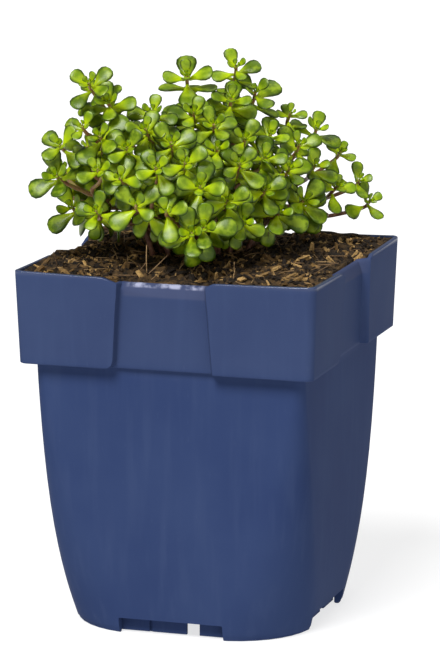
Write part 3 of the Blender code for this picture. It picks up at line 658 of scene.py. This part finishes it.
straw_shapes = [straw_shape(bend, kink) for bend, kink in ((0.5, -0.1), (1.2, 0.2), (-0.8, -0.3), (0.2, 0.1))]
straws = []
for number in range(STRAW_COUNT):
    x, y = soil_place(draw.uniform(-LITTER_REACH, LITTER_REACH), draw.uniform(-LITTER_REACH, LITTER_REACH))
    length = draw.uniform(*STRAW_LENGTHS)
    tilt = draw.gauss(0.0, 0.16) if number % 8 else draw.uniform(0.7, 1.3)
    if number == 0:
        x, y, length = UPRIGHT_STRAW
        tilt = 1.5
    turn = draw.uniform(0, math.tau)
    reach = max(abs(x) + abs(math.cos(turn)) * length / 2, abs(y) + abs(math.sin(turn)) * length / 2)
    length *= 0.4 if reach > LITTER_HALF + 1.0 else 1.0
    place = Vector((x, y, soil_height(x, y) + 0.55 + abs(math.sin(tilt)) * length * 0.35))
    size = (length, STRAW_RADIUS * draw.uniform(0.6, 1.2), STRAW_RADIUS)
    shape = straw_shapes[number % len(straw_shapes)]
    straws.append(scatter(shape, place, turn, tilt, size, draw.random()))
straw = join_copies("straw_fibres", straws)
bpy.ops.object.shade_smooth()
straw_finish = Finish("dry_straw", {"Specular IOR Level": 0.4})
tone = straw_finish.node("ShaderNodeAttribute", {"attribute_name": "tone"}, {}, 2)
stain = straw_finish.grain(500.0, 3.0)
pale = straw_finish.blend(tone, (0.13, 0.070, 0.030), (0.44, 0.28, 0.12))
colour = straw_finish.blend(straw_finish.spread(stain, 0.45, 0.7) * 0.7, pale, (0.07, 0.036, 0.017))
straw_finish.feed(straw_finish.shader.inputs["Base Color"], colour)
straw_finish.feed(straw_finish.shader.inputs["Roughness"], 0.55 + stain * 0.3)
straw.data.materials.append(straw_finish.material)
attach(straw, "root")
for shape in straw_shapes:
    bpy.data.objects.remove(shape)


# Sedum
# A young bushy sedum: several leafy stems from one crown, each with a few shoots that end in a
# rosette. Its fleshy spoon-shaped leaves stand in pairs, each pair square to the next. The places
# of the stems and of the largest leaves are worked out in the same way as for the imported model.

VIEW_TURN = math.radians(17.75)
VIEW_TILT = math.radians(11.24)
VIEW_DISTANCE = 1200.0
CROWN = Vector((-1.5, -1.5, POT_HEIGHT - 6.0))
ROOT_REACH = 0.3
ROOT_SPACING = 4.4
ROOT_ROUNDS = 60
ROOT_RADIUS = 0.8
BRANCH_RADIUS = 0.68
STEM_RISE = 1.6
TIP_RADIUS = 0.6
STEM_SIDES = 4
FINE_TIP_RADIUS = 0.5
HOLE_DEPTH = 8.0
UP = Vector((0.0, 0.0, 1.0))
LEAN_OUT = 0.55
LEAN_UP = 0.35
LEAN_ASIDE = 0.9
SEED = 7

# Each leafy stem is a list of shoots, the main one first. A shoot is how far its tip lies across
# from the pot's axis, how far over the rim, how far before the clump's long diagonal, the length of
# its largest leaves, and the turn of its leaf pairs in degrees.
LEAFY_STEMS = (
    ((-35.5, 49, -3, 8.0, 120), (-30, 43.5, 0, 8.5, 165), (-37.5, 36.5, 4, 6.5, 20)),
    ((-44, 31, 0, 8.0, 35), (-32.5, 33.5, 6, 9.5, 130)),
    ((-45, 22, -0.5, 10.0, 155), (-33, 23.5, 12, 8.0, 50)),
    ((-40.5, 13, -9, 9.5, 140), (-33.5, 11.5, 12, 8.0, 10)),
    ((-24.5, 30, 14, 8.5, 40), (-26.5, 21, 18, 8.5, 100)),
    ((-17, 41, 4, 7.5, 10), (-19, 35.5, 13, 8.0, 100), (-11.5, 31.5, 20, 8.5, 140)),
    ((-22, 13, 24, 9.5, 135), (-16, 24, 24, 8.0, 60)),
    ((-13, 11, 30, 9.0, 80), (-5.5, 5, 33, 9.5, 170)),
    ((-7, 51.5, -2, 9.5, 85), (-5, 40.5, 8, 8.0, 20), (1, 37, 14, 8.0, 150)),
    ((7.5, 54.5, -4, 7.5, 165), (6, 45, 4, 8.0, 100), (13, 47, -2, 9.5, 150)),
    ((10, 33, 14, 8.5, 30), (17.5, 34.5, 6, 8.0, 110), (2, 30, 20, 8.5, 5)),
    ((31, 36.5, -2, 8.5, 30), (23.5, 41, -4, 6.0, 95), (26, 31.5, 6, 8.5, 75)),
    ((-7.5, 25.5, 26, 8.5, 60), (-3, 18.5, 31, 9.0, 100)),
    ((8.5, 25.5, 23, 8.5, 45), (16, 27.5, 17, 8.5, 100)),
    ((5, 14.5, 32, 9.0, 70), (-2, 6.5, 35, 9.5, 175), (9.5, 8.5, 31, 7.5, 20)),
    ((23, 24.5, 14, 9.0, 165), (16, 18, 24, 8.5, 65), (20, 11.5, 22, 9.5, 20)),
    ((38, 30, -4, 7.0, 130), (30.5, 25.5, 4, 8.5, 20)),
    ((43.5, 21.5, -3, 8.0, 10), (37, 19.5, 3, 8.0, 100)),
    ((46.5, 15.5, -2, 8.5, 168), (27.5, 15.5, 12, 9.5, 50)),
)

# The unseen side repeats the seen one behind the long diagonal, a little lower and closer in
BACK_FROM_FRONT = 13.0
BACK_ALONG = 0.92
BACK_RISE = 0.9
BACK_SHIFT = 5.0
BACK_SHOOTS_PER_STEM = 3
BACK_FROM_MIDDLE = -9.0

# Leaf pairs of one shoot, numbered from the tip down: number, distance from the tip, tilt from the
# stem's axis, share of the largest leaf's length. The low and bud pairs are too many for the packed
# model and are added here.
LEAF_PAIRS = ((0, 0.7, 38.0, 0.55), (1, 2.0, 60.0, 0.85), (2, 3.8, 78.0, 1.0))
LOW_PAIRS = (
    (3, 6.0, 82.0, 0.95), (4, 8.6, 86.0, 0.9), (5, 11.5, 90.0, 0.85), (6, 14.6, 92.0, 0.8),
    (7, 18.0, 94.0, 0.75), (8, 22.0, 96.0, 0.7),
)
BUD_PAIRS = ((-1, 0.3, 22.0, 0.34), (-2, 0.05, 10.0, 0.2))
LARGE_PAIR = 2
LEAFY_WITHIN = 34.0
LEAF_WIDTH = 0.62
LEAF_THICKNESS = 1.3
PETIOLE_WIDTH = 0.75
LEAF_ROOT = 0.2
LEAF_DROOP = 0.1
LARGE_LEAF = ((0.0, 0.0, 0.6), (0.66, 1.0, 1.0), (1.0, 0.46, 0.55))
SMALL_LEAF = ((0.0, 0.0, 0.6), (0.64, 1.04, 1.0))
LEAF_SIZES = (0.9, 1.06)
LEAF_TURN_PLAY = 0.3
LEAF_TILT_PLAY = 14.0
LEAF_TRIES = 14
LAST_TRIES = 0.7
LAST_SIZE = 0.8
PLANT_HALF = RIM_HALF - 0.3
NEAR_RIM = RIM_HALF - 6.0

# Routes of the stems: how far the curve's ends pull, and how far a blocked one may be bent
CURVE_PULL = 0.36
SHOOT_LENGTH = 5.0
ROUTE_TRIES = 120
ROUTE_BEND = 1.6
ARRIVAL_BEND = 0.6
STEM_SPACING = 2.3


ALONG = Vector((1.0, 1.0, 0.0)).normalized()
BEFORE = Vector((1.0, -1.0, 0.0)).normalized()
LEVEL = Vector((math.sin(VIEW_TURN), -math.cos(VIEW_TURN), 0.0))


def tip_from_view(across, rise, front):
    """The point on a line of sight that lies a given distance before the clump's long diagonal."""
    right = Vector((math.cos(VIEW_TURN), math.sin(VIEW_TURN), 0.0))
    back = LEVEL * math.cos(VIEW_TILT) + UP * math.sin(VIEW_TILT)
    up = back.cross(right)
    rim_middle = Vector((0.0, 0.0, POT_HEIGHT))
    eye = rim_middle + back * VIEW_DISTANCE
    sight = rim_middle + right * across + up * rise - eye
    return eye + sight * ((front - eye.dot(BEFORE)) / sight.dot(BEFORE))


def list_shoots():
    """The tips of every leafy stem, the seen ones from the table and the unseen ones by rule."""
    draw = random.Random(SEED)
    stems = []
    behind = []
    for rows in LEAFY_STEMS:
        shoots = []
        for across, rise, front, length, turn in rows:
            tip = tip_from_view(across, rise, front)
            shoots.append((tip, length, math.radians(turn)))
            if front > BACK_FROM_FRONT:
                shift = draw.uniform(-BACK_SHIFT, BACK_SHIFT)
                along = tip.dot(ALONG) * BACK_ALONG + shift
                height = POT_HEIGHT + (tip.z - POT_HEIGHT) * BACK_RISE
                hidden = ALONG * along - BEFORE * tip.dot(BEFORE) + UP * height
                behind.append((hidden, length, math.radians(turn + 45.0)))
        stems.append(shoots)
    behind.sort(key=lambda shoot: math.atan2(shoot[0].z - POT_HEIGHT, shoot[0].dot(ALONG)))
    for first in range(0, len(behind), BACK_SHOOTS_PER_STEM):
        stems.append(behind[first:first + BACK_SHOOTS_PER_STEM])
    return stems


def place_roots(stems):
    """Where each stem leaves the soil: close round the crown, pushed apart until there is room."""
    roots = []
    for shoots in stems:
        middle = sum((tip for tip, length, turn in shoots), Vector()) / len(shoots)
        roots.append(CROWN + (middle - CROWN) * ROOT_REACH)
    for _ in range(ROOT_ROUNDS):
        for i, one in enumerate(roots):
            for other in roots[:i]:
                apart = Vector((one.x - other.x, one.y - other.y, 0.0))
                lack = ROOT_SPACING - apart.length
                if lack > 0:
                    push = apart.normalized() * lack / 2
                    one += push
                    other -= push
    return [Vector((root.x, root.y, 0.0)) for root in roots]


def curve_points(start, start_way, end, end_way, steps):
    """Points on a smooth curve that leaves one end and reaches the other in the given directions."""
    length = (end - start).length
    first = start + start_way * length * CURVE_PULL
    second = end - end_way * length * CURVE_PULL
    points = []
    for step in range(steps + 1):
        t = step / steps
        s = 1.0 - t
        points.append(start * s ** 3 + first * 3 * s * s * t + second * 3 * s * t * t + end * t ** 3)
    return points


def sample_line(points, spacing=1.0):
    """Points at close spacing along a run of straight stretches."""
    samples = []
    for a, b in zip(points, points[1:]):
        count = max(int((b - a).length / spacing), 1)
        samples += [a.lerp(b, i / count) for i in range(count)]
    samples.append(points[-1])
    return samples


def route_is_clear(points, stem, taken):
    """Whether a stem keeps off the soil, the pot and every other plant's stems."""
    samples = sample_line(points)
    for p in samples:
        if p.z < soil_height(p.x, p.y) + ROOT_RADIUS + CLEARANCE:
            return False
    mine = np.array([tuple(p) for p in samples])
    for owner, theirs in taken:
        if owner == stem:
            continue
        gaps = np.linalg.norm(mine[:, None, :] - theirs[None, :, :], axis=2)
        if gaps.min() < STEM_SPACING:
            return False
    return True


def find_route(start, start_way, end, end_way, stem, taken, draw):
    """A curved route between two points, bent until it is clear of the other stems."""
    steps = 3 if (end - start).length > 18 else 2
    for attempt in range(ROUTE_TRIES):
        wobble = Vector((draw.uniform(-1, 1), draw.uniform(-1, 1), draw.uniform(-0.6, 1)))
        wobble *= ROUTE_BEND * attempt / ROUTE_TRIES
        leave = (start_way + wobble).normalized()
        arrive = (end_way + wobble * ARRIVAL_BEND).normalized()
        points = curve_points(start, leave, end - arrive * SHOOT_LENGTH, arrive, steps) + [end]
        if route_is_clear(points[1:], stem, taken):
            return points
    print("no clear route to", tuple(round(v) for v in end), "of stem", stem)
    return points


def shoot_way(tip):
    """The way a shoot points: out from the crown, up, and away from the clump's long diagonal."""
    out = (tip - CROWN).normalized()
    aside = LEVEL if tip.dot(BEFORE) > BACK_FROM_MIDDLE else -LEVEL
    return (out * LEAN_OUT + UP * LEAN_UP + aside * LEAN_ASIDE).normalized()


def plan_stems(stems, roots):
    """Routes of every stem and branch, main stems first: stem, points, radius at the start, shoot."""
    draw = random.Random(SEED + 1)
    routes = []
    taken = []
    mains = {}
    shafts = []
    for index, root in enumerate(roots):
        surface = soil_height(root.x, root.y)
        bottom = Vector((root.x, root.y, surface - HOLE_DEPTH + CLEARANCE))
        mouth = Vector((root.x, root.y, surface + STEM_RISE))
        shafts.append((bottom, mouth))
        taken.append((index, np.array([tuple(p) for p in sample_line([bottom, mouth])])))
    for index, (shoots, (bottom, mouth)) in enumerate(zip(stems, shafts)):
        tip = shoots[0][0]
        route = find_route(mouth, UP, tip, shoot_way(tip), index, taken, draw)
        mains[index] = route
        routes.append((index, [bottom] + route, ROOT_RADIUS, shoots[0]))
        taken.append((index, np.array([tuple(p) for p in sample_line(route)])))
    for index, shoots in enumerate(stems):
        main = mains[index]
        for number, shoot in enumerate(shoots[1:]):
            tip = shoot[0]
            at = 2 if number == 0 and len(main) > 4 else 1
            leave = (main[at + 1] - main[at]).normalized()
            route = find_route(main[at], leave, tip, shoot_way(tip), index, taken, draw)
            routes.append((index, route, BRANCH_RADIUS, shoot))
            taken.append((index, np.array([tuple(p) for p in sample_line(route)])))
    return routes


def side_ways(way):
    """Two directions square to a direction and to each other."""
    side = way.cross(UP)
    side = side.normalized() if side.length > 0.05 else Vector((1.0, 0.0, 0.0))
    return side, side.cross(way).normalized()


def bridge_rings(rings, close_start=True, close_end=True):
    """Points and faces of a tube through rings of equal length, with flat ends."""
    count = len(rings[0])
    points = [point for ring in rings for point in ring]
    faces = []
    for level in range(len(rings) - 1):
        for i in range(count):
            a = level * count + i
            b = level * count + (i + 1) % count
            faces.append((a, b, b + count, a + count))
    if close_start:
        faces.append(tuple(range(count)))
    if close_end:
        last = (len(rings) - 1) * count
        faces.append(tuple(last + i for i in range(count)))
    return points, faces


def stem_shape(points, start_radius, turn):
    """A tapering four-sided stem, its sides facing the way its leaves leave it."""
    rings = []
    count = len(points)
    for i, point in enumerate(points):
        before = points[max(i - 1, 0)]
        after = points[min(i + 1, count - 1)]
        side, other = side_ways((after - before).normalized())
        radius = start_radius + (TIP_RADIUS - start_radius) * i / (count - 1)
        ring = []
        for k in range(STEM_SIDES):
            angle = turn + (k + 0.5) * 2 * math.pi / STEM_SIDES
            ring.append(point + side * radius * math.cos(angle) + other * radius * math.sin(angle))
        rings.append(ring)
    return bridge_rings(rings)


def leaf_shape(leaf, swell=0.0, start=0.0):
    """A fleshy spoon-shaped leaf, flat above with a keel below, that ends in a point."""
    base, way, face, length, width, sections = leaf
    side = way.cross(face).normalized()
    rings = []
    for share, breadth, thickness in sections:
        share = max(share, start)
        half = (width * breadth if breadth else PETIOLE_WIDTH) / 2 + swell * 1.5
        deep = LEAF_THICKNESS * thickness
        middle = base + way * length * share - face * length * LEAF_DROOP * share * share
        top = middle + face * (deep * 0.35 + swell)
        rings.append([top - side * half, top + side * half, middle - face * (deep * 0.65 + swell * 2)])
    if sections[-1][0] == 1.0:
        return bridge_rings(rings)
    points, faces = bridge_rings(rings, close_end=False)
    last = len(points) - 3
    points.append(base + way * (length + swell) - face * length * LEAF_DROOP)
    faces += [(last + i, last + (i + 1) % 3, last + 3) for i in range(3)]
    return points, faces


def shape_tree(shape):
    points, faces = shape
    return BVHTree.FromPolygons([tuple(p) for p in points], faces)


def shape_box(shape):
    corners = np.array([tuple(p) for p in shape[0]])
    return np.concatenate([corners.min(axis=0), corners.max(axis=0)])


def stays_above_soil(shape):
    """Whether a leaf keeps off the soil and within the pot's outline."""
    for p in shape[0]:
        out = max(abs(p.x), abs(p.y))
        if out > PLANT_HALF:
            return False
        floor = POT_HEIGHT if out > NEAR_RIM else soil_height(p.x, p.y)
        if p.z < floor + CLEARANCE:
            return False
    return True


def count_hits(tree, box, placed, wanted):
    """How many placed shapes a shape crosses, of those whose owner is wanted."""
    hits = 0
    for owner, other_box, other_tree in placed:
        if not wanted(owner):
            continue
        if np.any(box[:3] > other_box[3:]) or np.any(box[3:] < other_box[:3]):
            continue
        if tree.overlap(other_tree):
            hits += 1
    return hits


def point_down_route(points, distance):
    """The point and direction at a distance back from a route's tip."""
    left = distance
    for a, b in zip(points[::-1], points[-2::-1]):
        run = (b - a).length
        if left <= run:
            return a.lerp(b, left / run), (a - b).normalized()
        left -= run
    return points[0], (points[1] - points[0]).normalized()


def grow_leaves(routes, pairs, draw, placed):
    """Leaves of every shoot for some of its pairs, each turned until it is clear of the other stems."""
    leaves = []
    for pair, distance, tilt, share in pairs:
        for number, (index, points, radius, shoot) in enumerate(routes):
            tip, full_length, turn = shoot
            base, way = point_down_route(points, distance)
            side, other = side_ways(way)
            sections = LARGE_LEAF if pair == LARGE_PAIR else SMALL_LEAF
            for half_turn in range(2):
                best = None
                for attempt in range(LEAF_TRIES):
                    loose = 0.25 + attempt / LEAF_TRIES
                    angle = turn + pair * math.pi / 2 + half_turn * math.pi
                    angle += draw.uniform(-LEAF_TURN_PLAY, LEAF_TURN_PLAY) * loose
                    lean = math.radians(tilt + draw.uniform(-LEAF_TILT_PLAY, LEAF_TILT_PLAY) * loose)
                    size = full_length * share * draw.uniform(*LEAF_SIZES)
                    if attempt > LEAF_TRIES * LAST_TRIES:
                        size *= LAST_SIZE
                    out = side * math.cos(angle) + other * math.sin(angle)
                    leaf_way = (way * math.cos(lean) + out * math.sin(lean)).normalized()
                    face = (way * math.sin(lean) - out * math.cos(lean)).normalized()
                    leaf = (base + out * LEAF_ROOT, leaf_way, face, size, size * LEAF_WIDTH, sections)
                    swollen = leaf_shape(leaf, CLEARANCE)
                    if not stays_above_soil(swollen):
                        continue
                    tree = shape_tree(swollen)
                    box = shape_box(swollen)
                    if count_hits(tree, box, placed, lambda owner: owner[0] != index):
                        continue
                    blade = leaf_shape(leaf, 0.0, 0.3)
                    blade_box = shape_box(blade)
                    hits = count_hits(shape_tree(blade), blade_box, placed, lambda owner: owner[0] == index)
                    if best is None or hits < best[0]:
                        best = (hits, leaf)
                    if hits == 0:
                        break
                if best:
                    leaf = best[1]
                    shape = leaf_shape(leaf)
                    leaves.append((index, leaf))
                    placed.append(((index, number), shape_box(shape), shape_tree(shape)))
    return leaves


stem_plans = list_shoots()
routes = plan_stems(stem_plans, place_roots(stem_plans))
placed = []
for number, (index, points, radius, shoot) in enumerate(routes):
    shape = stem_shape(points, radius, shoot[2])
    placed.append(((index, number), shape_box(shape), shape_tree(shape)))
leaves = grow_leaves(routes, LEAF_PAIRS, random.Random(SEED + 2), placed)
low_leaves = grow_leaves(routes, LOW_PAIRS, random.Random(SEED + 3), placed)
leaves += [(index, leaf) for index, leaf in low_leaves if (leaf[0] - CROWN).xy.length < LEAFY_WITHIN]
leaves += grow_leaves(routes, BUD_PAIRS, random.Random(SEED + 4), [])

# One leaf is modelled as a long bead whose ends are its root and its tip, one unit long and wide
LEAF_STATIONS = (0.0, 0.06, 0.18, 0.34, 0.52, 0.7, 0.86, 0.965, 1.0)
LEAF_HALF_WIDTHS = (0.0, 0.09, 0.13, 0.26, 0.43, 0.53, 0.49, 0.3, 0.0)
LEAF_THICKNESSES = (0.0, 0.15, 0.155, 0.15, 0.15, 0.14, 0.11, 0.06, 0.0)
LEAF_SIDES = 8
TONE_LENGTH = 11.0


def model_leaf():
    rows = len(LEAF_STATIONS) - 1
    bpy.ops.mesh.primitive_uv_sphere_add(segments=LEAF_SIDES, ring_count=rows, radius=1)
    leaf = bpy.context.object
    growth = leaf.data.attributes.new("growth", "FLOAT_COLOR", "POINT")
    for vertex in leaf.data.vertices:
        row = round(math.acos(max(min(vertex.co.z, 1.0), -1.0)) / math.pi * rows)
        turn = math.atan2(vertex.co.y, vertex.co.x)
        along = LEAF_STATIONS[row]
        across = math.cos(turn) * LEAF_HALF_WIDTHS[row]
        up = math.sin(turn) * LEAF_THICKNESSES[row]
        up *= 0.65 if up < 0 else 0.38 - 0.16 * math.sin(turn) * math.sin(along * math.pi)
        growth.data[vertex.index].color = (along, abs(math.cos(turn)), 0.0, 1.0)
        vertex.co = Vector((across, along, up - LEAF_DROOP * along * along))
    bpy.ops.object.mode_set(mode="EDIT")
    bpy.ops.mesh.select_all(action="SELECT")
    bpy.ops.mesh.normals_make_consistent(inside=False)
    bpy.ops.object.mode_set(mode="OBJECT")
    bpy.ops.object.shade_smooth()
    return leaf


def smooth_route(points, steps=4):
    """Points on a smooth curve through a stem's corners."""
    ends = [points[0] * 2 - points[1], *points, points[-1] * 2 - points[-2]]
    fine = []
    for a, b, c, d in zip(ends, ends[1:], ends[2:], ends[3:]):
        for step in range(steps):
            t = step / steps
            fine.append((b * 2 + (c - a) * t + (a * 2 - b * 5 + c * 4 - d) * t * t
                         + (b * 3 - a - c * 3 + d) * t * t * t) / 2)
    return fine + [points[-1]]


def model_stems(own_routes):
    """Round tapering stems of one leafy stem, its branches starting inside it."""
    curve = bpy.data.curves.new("stems", "CURVE")
    curve.dimensions = "3D"
    curve.bevel_depth = MM
    curve.bevel_resolution = 2
    curve.use_fill_caps = True
    for index, points, radius, shoot in own_routes:
        fine = smooth_route(points)
        spline = curve.splines.new("POLY")
        spline.points.add(len(fine) - 1)
        for i, point in enumerate(fine):
            spline.points[i].co = (*(point * MM), 1.0)
            spline.points[i].radius = radius + (FINE_TIP_RADIUS - radius) * i / (len(fine) - 1)
    stems = bpy.data.objects.new("stems", curve)
    bpy.context.collection.objects.link(stems)
    bpy.ops.object.select_all(action="DESELECT")
    stems.select_set(True)
    bpy.context.view_layer.objects.active = stems
    bpy.ops.object.convert(target="MESH")
    bpy.ops.object.shade_smooth()
    return bpy.context.object


blade = Finish("sedum_leaf", {"IOR": 1.42, "Specular IOR Level": 0.34, "Subsurface Weight": 0.12,
                              "Subsurface Radius": (0.4, 1.0, 0.15), "Subsurface Scale": 0.6 * MM})
growth = blade.node("ShaderNodeAttribute", {"attribute_name": "growth"}, {}, 0)
parts = blade.node("ShaderNodeSeparateColor", {}, {0: growth}, 0)
along = parts
rim = Signal(blade, parts.socket.node.outputs[1])
tone = Signal(blade, parts.socket.node.outputs[2])
patches_and_painted_highlights = blade.grain(420.0, 3.0)
pores = blade.grain(5200.0, 2.0)
green = blade.blend(tone, (0.034, 0.074, 0.002), (0.170, 0.275, 0.004))
# Pale patches on the leaves are painted highlights of their glossy skin; the same noise also varies their roughness and
# bumps.
green = blade.blend(blade.spread(patches_and_painted_highlights, 0.42, 0.68) * 0.6, green, (0.330, 0.450, 0.020))
age = along - tone * 0.45
young = blade.blend(blade.spread(age, 0.42, -0.12), green, (0.430, 0.570, 0.003))
# The leaves' edges are darkened: partly their own darker green rims, partly painted shade where the thick edge turns
# away from the light.
edge = blade.spread(rim, 0.5, 1.0) * blade.spread(along, 0.25, 0.6)
blade.feed(blade.shader.inputs["Base Color"], blade.blend(edge * 0.9, young, (0.016, 0.042, 0.001)))
blade.feed(blade.shader.inputs["Roughness"], 0.22 + patches_and_painted_highlights * 0.14 + rim * 0.08)
blade.emboss(patches_and_painted_highlights * 2.0 + pores * 0.5, 0.15, 0.1)

stalk = Finish("sedum_stem", {"Specular IOR Level": 0.4})
rise = stalk.node("ShaderNodeSeparateXYZ", {}, {0: stalk.place}, 2)
mottle = stalk.grain(700.0, 3.0)
bark_colour = stalk.blend(stalk.spread(mottle, 0.35, 0.7), (0.110, 0.040, 0.024), (0.300, 0.135, 0.080))
fresh = stalk.blend(stalk.spread(mottle, 0.35, 0.7), (0.360, 0.160, 0.085), (0.330, 0.300, 0.050))
height = stalk.spread(rise + mottle * 0.02, (POT_HEIGHT + 12) * MM, (POT_HEIGHT + 42) * MM)
stalk.feed(stalk.shader.inputs["Base Color"], stalk.blend(height, bark_colour, fresh))
stalk.feed(stalk.shader.inputs["Roughness"], 0.42 + mottle * 0.2)
stalk.emboss(mottle, 0.3, 0.15)

leaf_model = model_leaf()
leaf_model.data.materials.append(blade.material)
draw = random.Random(SEED + 5)
for index in range(len(stem_plans)):
    stems = model_stems([route for route in routes if route[0] == index])
    stems.data.materials.append(stalk.material)
    copies = [stems]
    for owner, (base, way, face, length, width, sections) in leaves:
        if owner != index:
            continue
        copy = bpy.data.objects.new("leaf", leaf_model.data.copy())
        bpy.context.collection.objects.link(copy)
        side = way.cross(face).normalized()
        turned = Matrix((side * width, way * length, face * length)).transposed().to_4x4()
        copy.data.transform(Matrix.Scale(MM, 4) @ Matrix.Translation(base) @ turned)
        tone = min(max(1.25 - length / TONE_LENGTH + draw.uniform(-0.3, 0.3), 0.0), 1.0)
        for value in copy.data.attributes["growth"].data:
            value.color[2] = tone
        copies.append(copy)
    leafy_stem = join_copies(f"leafy_stem_{index + 1:02d}", copies)
    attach(leafy_stem, "root")
    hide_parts(f"sedum_stem_{index + 1:02d}")
bpy.data.objects.remove(leaf_model)


# Studio
# A plain white sweep, soft light from the upper left and a weaker fill, and a long lens that looks
# at the pot from a little to its left and above.

FLOOR_HALF = 6000.0
CAMERA_TURN = math.radians(17.749)
CAMERA_TILT = math.radians(11.244)
CAMERA_DISTANCE = 1200.0
CAMERA_LENS = 224.4
AIM_ACROSS = 2.722
AIM_HEIGHT = 84.478

bpy.ops.object.select_all(action="DESELECT")
bpy.ops.mesh.primitive_plane_add(size=FLOOR_HALF * 2 * MM)
floor = bpy.context.object
floor.name = "studio_floor"
paper = Finish("white_paper", {"Specular IOR Level": 0.0, "Roughness": 0.9, "Emission Strength": 0.72})
paper.feed(paper.shader.inputs["Base Color"], paper.blend(paper.grain(3.0), (0.34, 0.34, 0.34), (0.37, 0.37, 0.37)))
paper.feed(paper.shader.inputs["Emission Color"], (1.0, 1.0, 1.0, 1.0))
floor.data.materials.append(paper.material)

world = bpy.data.worlds.new("studio")
world.use_nodes = True
world.node_tree.nodes["Background"].inputs["Color"].default_value = (1.0, 1.0, 1.0, 1.0)
world.node_tree.nodes["Background"].inputs["Strength"].default_value = 0.16
bpy.context.scene.world = world


def add_light(name, way, strength, spread):
    """A far, soft light that shines from a direction, spread over an angle in degrees."""
    light = bpy.data.lights.new(name, "SUN")
    light.energy = strength
    light.angle = math.radians(spread)
    lamp = bpy.data.objects.new(name, light)
    lamp.matrix_world = (-Vector(way)).to_track_quat("-Z", "Y").to_matrix().to_4x4()
    bpy.context.scene.collection.objects.link(lamp)


add_light("key", (-0.12, -0.62, 0.76), 3.55, 26)
add_light("fill", (0.75, -0.45, 0.45), 0.5, 50)
add_light("top", (0.10, 0.35, 0.95), 0.6, 40)

right = Vector((math.cos(CAMERA_TURN), math.sin(CAMERA_TURN), 0.0))
level = Vector((math.sin(CAMERA_TURN), -math.cos(CAMERA_TURN), 0.0))
back = level * math.cos(CAMERA_TILT) + Vector((0, 0, math.sin(CAMERA_TILT)))
lens = bpy.data.cameras.new("photo_camera")
lens.lens = CAMERA_LENS
lens.sensor_width = 36.0
lens.clip_start = 0.05
camera = bpy.data.objects.new("photo_camera", lens)
bpy.context.scene.collection.objects.link(camera)
eye = right * AIM_ACROSS + Vector((0, 0, AIM_HEIGHT)) + back * CAMERA_DISTANCE
axes = Matrix((right, back.cross(right), back)).transposed().to_4x4()
camera.matrix_world = Matrix.Translation(eye * MM) @ axes
bpy.context.scene.camera = camera
bpy.context.scene.view_settings.view_transform = "Standard"
